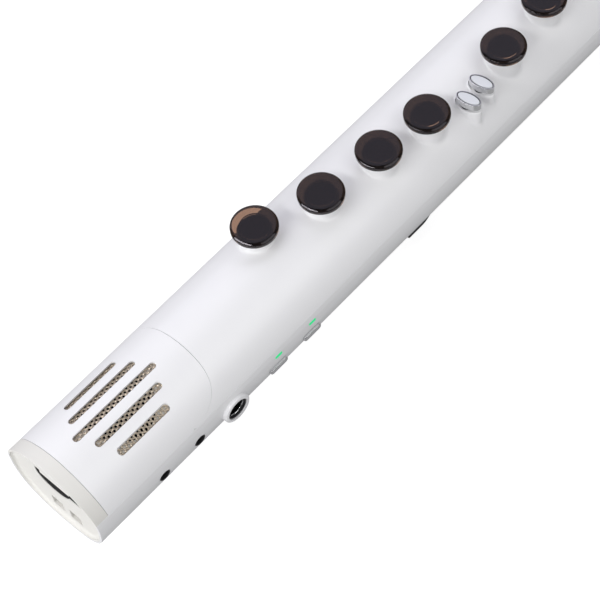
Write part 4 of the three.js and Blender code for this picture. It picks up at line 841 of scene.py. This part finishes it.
low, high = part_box("key_membrane")
membrane_x, membrane_y, _ = centre_of("key_membrane")
membrane_z, dome_top_z = low[2] / MM, high[2] / MM
membrane_length, membrane_width = (high[0] - low[0]) / MM, (high[1] - low[1]) / MM
sheet_outline = block(membrane_x, membrane_y, membrane_length, membrane_width)
membrane = prism(sheet_outline, "Z", membrane_z, membrane_z + 0.8)
cut_low, cut_high = membrane_z - 1, membrane_z + 2
through = [
    rod(thread_radius, cut_low, cut_high, up, (x, 0, 0), steps=24) for x in screw_xs[:2]
]
oval_xs = [centre_of(name)[0] for name in ovals]
window = block(sum(oval_xs) / 2, -10.7, abs(oval_xs[1] - oval_xs[0]) + 6.6, 8.0)
through.append(prism(window, "Z", cut_low, cut_high))
for i, name in enumerate(discs, start=1):
    x, y, _ = centre_of(name)
    through.append(rod(4.25, cut_low, cut_high, up, (x, y, 0)))
    dome = lathe(
        [(0, dome_top_z), (2.45, dome_top_z), (2.6, dome_top_z - 0.1), (4.15, membrane_z + 0.8),
         (4.15, membrane_z), (2.6, membrane_z), (2.0, dome_top_z - 0.6), (0, dome_top_z - 0.6)],
        up, (x, y, 0), steps=36,
    )
    dome = piece(dome, f"membrane_dome_{i}", "casing", "silicone", silicone)
    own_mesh(dome)
membrane = combine(membrane, together(*through), "DIFFERENCE")
piece(membrane, "switch_membrane", "casing", "silicone", silicone, "key_membrane")


# Octave keys
# Two long plated keys on the back for the left thumb, each on a round stem through the casing.
for i, name in enumerate(("octave_key_1", "octave_key_2"), start=1):
    x = centre_of(name)[0]
    low_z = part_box(name)[0][2] / MM
    pad = prism(bar(x, 0, 14.0, 9.0, steps=24), "Z", low_z, low_z + 2.3)
    soften(pad, 0.8, segments=4, where=lambda e: max(v.co.z for v in e.verts) < low_z + 1)
    soften(pad, 0.2, segments=2, where=lambda e: min(v.co.z for v in e.verts) > low_z + 2)
    stem = lathe(
        [(0, low_z + 1.5), (3.0, low_z + 1.5), (3.0, back_z + 2.3), (3.6, back_z + 2.3),
         (3.6, back_z + 3.2), (0, back_z + 3.2)],
        up, (x, 0, 0),
    )
    pad = combine(pad, stem, "UNION")
    piece(pad, f"octave_cap_{i}", f"octave_{i}", "chrome_trim", chrome, name)


# Thumb hook
# A black moulded hook on the back that hangs the weight on the right thumb, held by one screw.
black_rubber = plastic("black_rubber", (0.016, 0.016, 0.016), 0.7, grain=1500, shift=0.15, bump=0.15)
low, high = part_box("thumb_hook")
hook_x0, hook_x1, hook_top = low[0] / MM, high[0] / MM, high[2] / MM
hook_arm, hook_curl, hook_plate = 3.0, 7.0, 2.0
curl_x, curl_z = hook_x1 - hook_curl, hook_curl


def bend(radius, first, last):
    """A quarter turn of the hook's curl, by angles in degrees."""
    angles = [math.radians(first + (last - first) * i / 14) for i in range(15)]
    return [(curl_x + radius * math.cos(a), curl_z + radius * math.sin(a)) for a in angles]


hook = prism(
    [(hook_x0, hook_top), (hook_x1, hook_top), *bend(hook_curl, 0, -90),
     (hook_x1 - 14.0, 0), (hook_x1 - 14.0, hook_arm), *bend(hook_curl - hook_arm, -90, 0),
     (hook_x1 - hook_arm, hook_top - hook_plate), (hook_x0, hook_top - hook_plate)],
    "Y", -9.0, 9.0,
)
soften(hook, 0.5)


def screw_seat(x, face_z):
    """The sunk seat of a screw head, with the hole for its shank."""
    return lathe(
        [(0, face_z - 2), (2.75, face_z - 2), (2.75, face_z), (2.55, face_z + 0.2),
         (2.55, face_z + 1.1), (thread_radius, face_z + 1.1), (thread_radius, face_z + 5),
         (0, face_z + 5)],
        up, (x, 0, 0), steps=40,
    )


hook = combine(hook, screw_seat(plate_screw_xs[0], hook_top - hook_plate), "DIFFERENCE")
piece(hook, "thumb_hook_moulding", "casing", "black_plastic", black, "thumb_hook")


# Strap ring
# A plated ring standing on a plate that two screws hold to the back, for the neck strap's hook.
low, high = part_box("strap_ring")
ring_x, ring_top, plate_thick = centre_of("strap_ring")[0], high[2] / MM, 2
plate_half = (high[0] - low[0]) / 2 / MM
ring_plate = prism(
    bar(ring_x, 0, 2 * plate_half, 12.0, steps=16), "Z", ring_top - plate_thick, ring_top,
)
soften(ring_plate, 0.35)
for x in plate_screw_xs[1:]:
    ring_plate = combine(ring_plate, screw_seat(x, ring_top - plate_thick), "DIFFERENCE")
wire_radius, loop_radius = 1.5, 6.0
loop_z = ring_top - plate_thick - 4.5
loop = bmesh.new()
bmesh.ops.create_circle(loop, cap_ends=False, radius=wire_radius, segments=20)
upright = Matrix.Rotation(math.pi / 2, 3, "Y")
bmesh.ops.rotate(loop, verts=loop.verts, cent=(0, 0, 0), matrix=upright)
bmesh.ops.translate(loop, verts=loop.verts, vec=(0, 0, loop_radius))
bmesh.ops.spin(
    loop, geom=loop.verts[:] + loop.edges[:], cent=(0, 0, 0), axis=across,
    angle=2 * math.pi, steps=48, use_merge=True, use_duplicate=False,
)
bmesh.ops.remove_doubles(loop, verts=loop.verts, dist=1e-4)
bmesh.ops.recalc_face_normals(loop, faces=loop.faces)
bmesh.ops.translate(loop, verts=loop.verts, vec=(ring_x, 0, loop_z))
above = prism(block(ring_x, 0, 18, 8), "Z", ring_top - 1, ring_top + 9)
loop = combine(loop, above, "DIFFERENCE")
piece(combine(ring_plate, loop, "UNION"), "strap_loop", "casing", "chrome_trim", chrome, "strap_ring")


# Screws
# Small cross-head screws of blackened steel: one in the hook, two in the ring plate, and four
# long ones deep in their wells that draw the two casings together.
dark_steel = plastic(
    "blackened_steel", (0.16, 0.16, 0.165), 0.35, shift=0.1, bump=0.03, metallic=1.0,
)


def cross_screw(node, name):
    """A screw with its head down, and a cross driven into the head."""
    low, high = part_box(node)
    x, foot, tip = centre_of(node)[0], low[2] / MM, high[2] / MM
    screw = lathe(
        [(0, foot), (1.6, foot), (2.05, foot + 0.25), (2.2, foot + 0.7), (2.2, foot + 1.6),
         (1.1, foot + 1.6), (1.1, tip - 0.6), (0.6, tip), (0, tip)],
        up, (x, 0, 0), steps=40,
    )
    cross_long, cross_wide = 2.8, 0.64
    bars = [
        prism(block(x, 0, *size), "Z", foot - 1, foot + 0.9)
        for size in ((cross_long, cross_wide), (cross_wide, cross_long))
    ]
    screw = combine(screw, combine(*bars, "UNION"), "DIFFERENCE")
    piece(screw, name, "casing", "steel", dark_steel, node)


cross_screw("thumb_hook_screw", "hook_screw")
for i in (1, 2):
    cross_screw(f"strap_screw_{i}", f"ring_screw_{i}")
for i in (1, 2, 3, 4):
    cross_screw(f"shell_screw_{i}", f"casing_screw_{i}")


# Neck
# The pearl white cone that brings the casing down to the round mouthpiece end. It is a separate
# moulding, and a lip on it plugs into the casing.
neck_x0, neck_length, neck_end_radius = body_end_x + seam, 34.0, 12.6
axis_z = (top_z + back_z) / 2


def section(inset):
    """The casing's whole closed section, set in by a margin."""
    return arch(inset, widest_z, 48)[:-1] + belly(inset, 48)[::-1][:-1]


def tapered(inset):
    """The cone's skin: the casing's section drawn along and eased into a circle."""
    skin = bmesh.new()
    line = [skin.verts.new((neck_x0, y, z)) for y, z in section(0.45 + inset)]
    edges = [skin.edges.new(pair) for pair in zip(line, line[1:] + line[:1])]
    steps = 24
    for _ in range(steps):
        grown = bmesh.ops.extrude_edge_only(skin, edges=edges)
        verts = [g for g in grown["geom"] if isinstance(g, bmesh.types.BMVert)]
        edges = [
            g for g in grown["geom"]
            if isinstance(g, bmesh.types.BMEdge) and all(v in verts for v in g.verts)
        ]
        bmesh.ops.translate(skin, verts=verts, vec=(neck_length / steps, 0, 0))
    for v in skin.verts:
        share = (v.co.x - neck_x0) / neck_length
        ease = share * share * (3 - 2 * share)
        angle = math.atan2(v.co.z - axis_z, v.co.y)
        radius = neck_end_radius - inset
        v.co.y += (radius * math.cos(angle) - v.co.y) * ease
        v.co.z += (axis_z + radius * math.sin(angle) - v.co.z) * ease
    return skin


outer_skin, inner_skin = tapered(0), tapered(wall)
neck = together(outer_skin, inner_skin)
for end_x in (neck_x0, neck_x0 + neck_length):
    bmesh.ops.bridge_loops(neck, edges=[
        e for e in neck.edges if e.is_boundary and all(abs(v.co.x - end_x) < 1e-3 for v in e.verts)
    ])
bmesh.ops.recalc_face_normals(neck, faces=neck.faces)
soften(neck, 0.4)
spigot = prism(section(wall + seam), "X", body_end_x - 5, body_end_x + 2.5)
hollow = prism(section(2 * wall + seam), "X", body_end_x - 7, body_end_x + 5)
spigot = combine(spigot, hollow, "DIFFERENCE")
piece(together(neck, spigot), "neck_moulding", "casing", "pearl_shell", pearl, "neck_cone")


# Receiver
# The black tube that the mouthpiece slides onto, with a rubber ring in its groove that grips it.
neck_end_x = neck_x0 + neck_length
receiver = lathe(
    [(4.2, -4.3), (10.3, -4.3), (10.3, -0.3), (10.0, 0.0), (7.6, 0.0), (7.6, 12.4), (6.5, 12.45),
     (6.5, 13.95), (7.6, 14.0), (7.6, 23.4), (7.0, 24.0), (4.5, 24.0), (4.2, 23.7), (4.2, -4.3)],
    along, (neck_end_x, 0, axis_z),
)
piece(receiver, "receiver_moulding", "casing", "black_plastic", black, "receiver_tube")
ring_profile = [
    (7.2 + 0.55 * math.cos(a), 13.2 + 0.55 * math.sin(a))
    for a in [2 * math.pi * i / 16 for i in range(17)]
]
grip = lathe(ring_profile, along, (neck_end_x, 0, axis_z))
piece(grip, "receiver_ring", "casing", "black_rubber", black_rubber, "receiver_o_ring")


# Mouthpiece
# A black moulded mouthpiece with a sloping beak above, a flat table below and a chamber that
# opens under the reed. It pulls off the receiver along the instrument.
glossy_black = plastic(
    "polished_black", (0.012, 0.012, 0.013), 0.16, grain=700, shift=0.05, bump=0.01, coat=0.3,
)
mouth_x, mouth_length = neck_end_x + seam, 93.4
tip_x = mouth_x + mouth_length
table_z, beak_x = axis_z - 7.6, mouth_x + 0.48 * mouth_length
beak_top = axis_z + 12.3
fall = (beak_top - table_z - 2.2) / (tip_x - beak_x)
heel_start = mouth_x + 0.24 * mouth_length

blank = lathe(
    [(7.9, 0), (12.2, 0), (12.7, 0.5), (12.7, 6.6), (12.3, 7.2), (12.0, 7.9),
     (12.0, 0.48 * mouth_length), (11.6, 0.60 * mouth_length), (10.6, 0.80 * mouth_length),
     (9.4, 0.97 * mouth_length), (8.6, mouth_length), (0, mouth_length), (0, 58.0),
     (5.4, 58.0), (5.4, 24.3), (7.9, 24.3), (7.9, 0)],
    along, (mouth_x, 0, axis_z), steps=96,
)
beak_line = []
for i in range(13):
    share = i / 12
    x = beak_x + (tip_x + 1 - beak_x) * share
    dip = 1.1 * math.sin(math.pi * min(share * 1.02, 1))
    beak_line.append((x, beak_top - (x - beak_x) * fall - dip))
beak = prism([*beak_line, (tip_x + 1, axis_z + 30), (beak_x, axis_z + 30)], "Y", -25, 25)
table = prism(
    [(heel_start, axis_z - 30), (tip_x + 2, axis_z - 30), (tip_x + 2, table_z),
     (heel_start, table_z)],
    "Y", -25, 25,
)
window_x = mouth_x + 0.6 * mouth_length
chamber = prism(
    [(window_x, table_z - 2), (tip_x - 3, table_z - 2), (tip_x - 3, table_z + 0.9),
     (window_x, beak_top - (window_x - beak_x) * fall - 3.6)],
    "Y", -5.25, 5.25,
)


def tip_waste(half):
    """What is cut away round the curved tip of the mouthpiece or the reed."""
    arc = [
        (tip_x - 7 + 7 * math.cos(a), half * math.sin(a))
        for a in [math.pi * (i / 24 - 0.5) for i in range(25)]
    ]
    return prism(
        [(tip_x - 7, -14), *arc, (tip_x - 7, 14), (tip_x + 6, 14), (tip_x + 6, -14)],
        "Z", axis_z - 20, axis_z + 20,
    )


moulding = blank
for waste in (beak, table, chamber, tip_waste(9.0)):
    moulding = combine(moulding, waste, "DIFFERENCE")
piece(moulding, "mouthpiece_moulding", "mouthpiece_set", "black_plastic", glossy_black, "mouthpiece")


# Reed
# A cane-coloured blade clamped to the table, thick at its heel and scraped thin to its tip.
cane = plastic("cane_resin", (0.62, 0.52, 0.28), 0.5, grain=500, shift=0.12, bump=0.1)
heel_x = heel_start + seam
reed_top = table_z - seam
scrape_x = tip_x - (tip_x - heel_x) * 0.45
blade = [(heel_x, reed_top - 2.4), (scrape_x, reed_top - 2.4)]
for i in range(1, 13):
    share = i / 12
    blade.append((scrape_x + (tip_x - scrape_x) * share, reed_top - 0.4 - 2.0 * (1 - share) ** 1.6))
blade += [(tip_x, reed_top), (heel_x, reed_top)]
reed = combine(prism(blade, "Y", -6.5, 6.5), tip_waste(6.6), "DIFFERENCE")
piece(reed, "reed_blade", "mouthpiece_set", "reed_resin", cane, "reed")


# Ligature
# The black band round the mouthpiece that clamps the reed, with two raised ribs and a pad.
band_x = mouth_x + 0.33 * mouth_length
ribs = [
    (12.3, 0), (12.95, 0), (13.2, 0.3), (13.2, 3.2), (12.9, 3.6), (12.9, 12.4), (13.2, 12.8),
    (13.2, 15.7), (12.95, 16.0), (12.3, 16.0), (12.3, 0),
]
band = lathe(ribs, along, (band_x, 0, axis_z), steps=96)
pad_top = table_z - 2.4 - 2 * seam
clamp = prism(
    [(-4.5, axis_z - 12.75), (4.5, axis_z - 12.75), (4.5, pad_top), (-4.5, pad_top)],
    "X", band_x + 0.2, band_x + 15.8,
)
band = combine(band, clamp, "UNION")
piece(band, "ligature_band", "mouthpiece_set", "black_plastic", black, "ligature")


# Floor and light
# A plain white sweep. A long soft lamp leans over the bell end, a weaker one stands on the socket
# side, a bluish one fills in from the far side, and a low one lights the end plate.
def seen_rays(nodes, links):
    """A light path, and 1 where the camera sees a thing itself or through clear plastic."""
    rays = nodes.new("ShaderNodeLightPath")
    either = nodes.new("ShaderNodeMath")
    either.operation = "MAXIMUM"
    links.new(rays.outputs["Is Camera Ray"], either.inputs[0])
    links.new(rays.outputs["Is Transmission Ray"], either.inputs[1])
    return rays, either.outputs[0]


def white_sweep(name, albedo, glow, through):
    """White that shows lighter than it is lit, and lighter still through clear plastic."""
    material = bpy.data.materials.new(name)
    material.use_nodes = True
    nodes, links = material.node_tree.nodes, material.node_tree.links
    nodes.remove(nodes["Principled BSDF"])
    paint = nodes.new("ShaderNodeBsdfDiffuse")
    paint.inputs["Color"].default_value = (albedo, albedo, albedo, 1)
    lift = nodes.new("ShaderNodeEmission")
    extra = nodes.new("ShaderNodeMapRange")
    extra.inputs["To Min"].default_value = glow
    extra.inputs["To Max"].default_value = through
    both = nodes.new("ShaderNodeAddShader")
    pick = nodes.new("ShaderNodeMixShader")
    rays, seen = seen_rays(nodes, links)
    links.new(rays.outputs["Is Transmission Ray"], extra.inputs["Value"])
    links.new(extra.outputs["Result"], lift.inputs["Strength"])
    links.new(paint.outputs[0], both.inputs[0])
    links.new(lift.outputs[0], both.inputs[1])
    links.new(seen, pick.inputs[0])
    links.new(paint.outputs[0], pick.inputs[1])
    links.new(both.outputs[0], pick.inputs[2])
    links.new(pick.outputs[0], nodes["Material Output"].inputs["Surface"])
    return material


floor_half = 3.0
ground = bmesh.new()
bmesh.ops.create_grid(ground, x_segments=1, y_segments=1, size=floor_half)
ground_mesh = bpy.data.meshes.new("floor")
ground.to_mesh(ground_mesh)
ground.free()
ground_mesh.materials.append(white_sweep("floor_white", albedo=0.42, glow=0.8, through=7.8))
floor = bpy.data.objects.new("floor", ground_mesh)
scene.collection.objects.link(floor)


def area_lamp(name, bearing, distance, width, height, lean, power, colour):
    """A soft lamp that faces the keys from a bearing, leaning to one side by an angle."""
    data = bpy.data.lights.new(name, "AREA")
    data.shape, data.size, data.size_y = "RECTANGLE", width, height
    data.energy, data.color = power, colour
    lamp = bpy.data.objects.new(name, data)
    away = Vector(bearing).normalized()
    place = Matrix.Translation(lit_middle + distance * away)
    facing = away.to_track_quat("Z", "Y").to_matrix().to_4x4()
    lamp.matrix_world = place @ facing @ Matrix.Rotation(math.radians(lean), 4, "Z")
    scene.collection.objects.link(lamp)
    return lamp


lit_middle = Vector((-0.16, 0, 0.05))
area_lamp("bell_lamp", (-0.70, 0.20, 0.68), 1.7, 1.80, 0.25, 22, 14.2, (1, 1, 1))
area_lamp("side_lamp", (0.20, -0.66, 0.72), 1.3, 1.16, 0.70, 0, 3.7, (1, 1, 1))
area_lamp("overhead_lamp", (0.25, 0.68, 0.68), 1.6, 2.3, 2.3, 0, 11.0, (0.87, 0.85, 1))
end_lamp = area_lamp("end_lamp", (-0.97, -0.10, 0.10), 1.0, 0.5, 0.4, 0, 3.9, (1, 1, 1))
end_lamp.visible_glossy = False

# An even sky, weaker in reflections and plain white where it is seen
sky_strength, sky_in_gloss = 0.51, 0.12
sky = bpy.data.worlds.new("sky")
sky.use_nodes = True
scene.world = sky
sky_nodes, sky_links = sky.node_tree.nodes, sky.node_tree.links
dim = sky_nodes["Background"]
dim.inputs["Color"].default_value = (1, 1, 1, 1)
dim_in_gloss = sky_nodes.new("ShaderNodeMapRange")
dim_in_gloss.inputs["To Min"].default_value = sky_strength
dim_in_gloss.inputs["To Max"].default_value = sky_in_gloss
bright = sky_nodes.new("ShaderNodeBackground")
bright.inputs["Color"].default_value = (1, 1, 1, 1)
bright.inputs["Strength"].default_value = 1.0
sky_rays, sky_seen = seen_rays(sky_nodes, sky_links)
sky_links.new(sky_rays.outputs["Is Glossy Ray"], dim_in_gloss.inputs["Value"])
sky_links.new(dim_in_gloss.outputs["Result"], dim.inputs["Strength"])
sky_pick = sky_nodes.new("ShaderNodeMixShader")
sky_links.new(sky_seen, sky_pick.inputs[0])
sky_links.new(dim.outputs[0], sky_pick.inputs[1])
sky_links.new(bright.outputs[0], sky_pick.inputs[2])
sky_links.new(sky_pick.outputs[0], sky_nodes["World Output"].inputs["Surface"])

scene.view_settings.view_transform = "Standard"
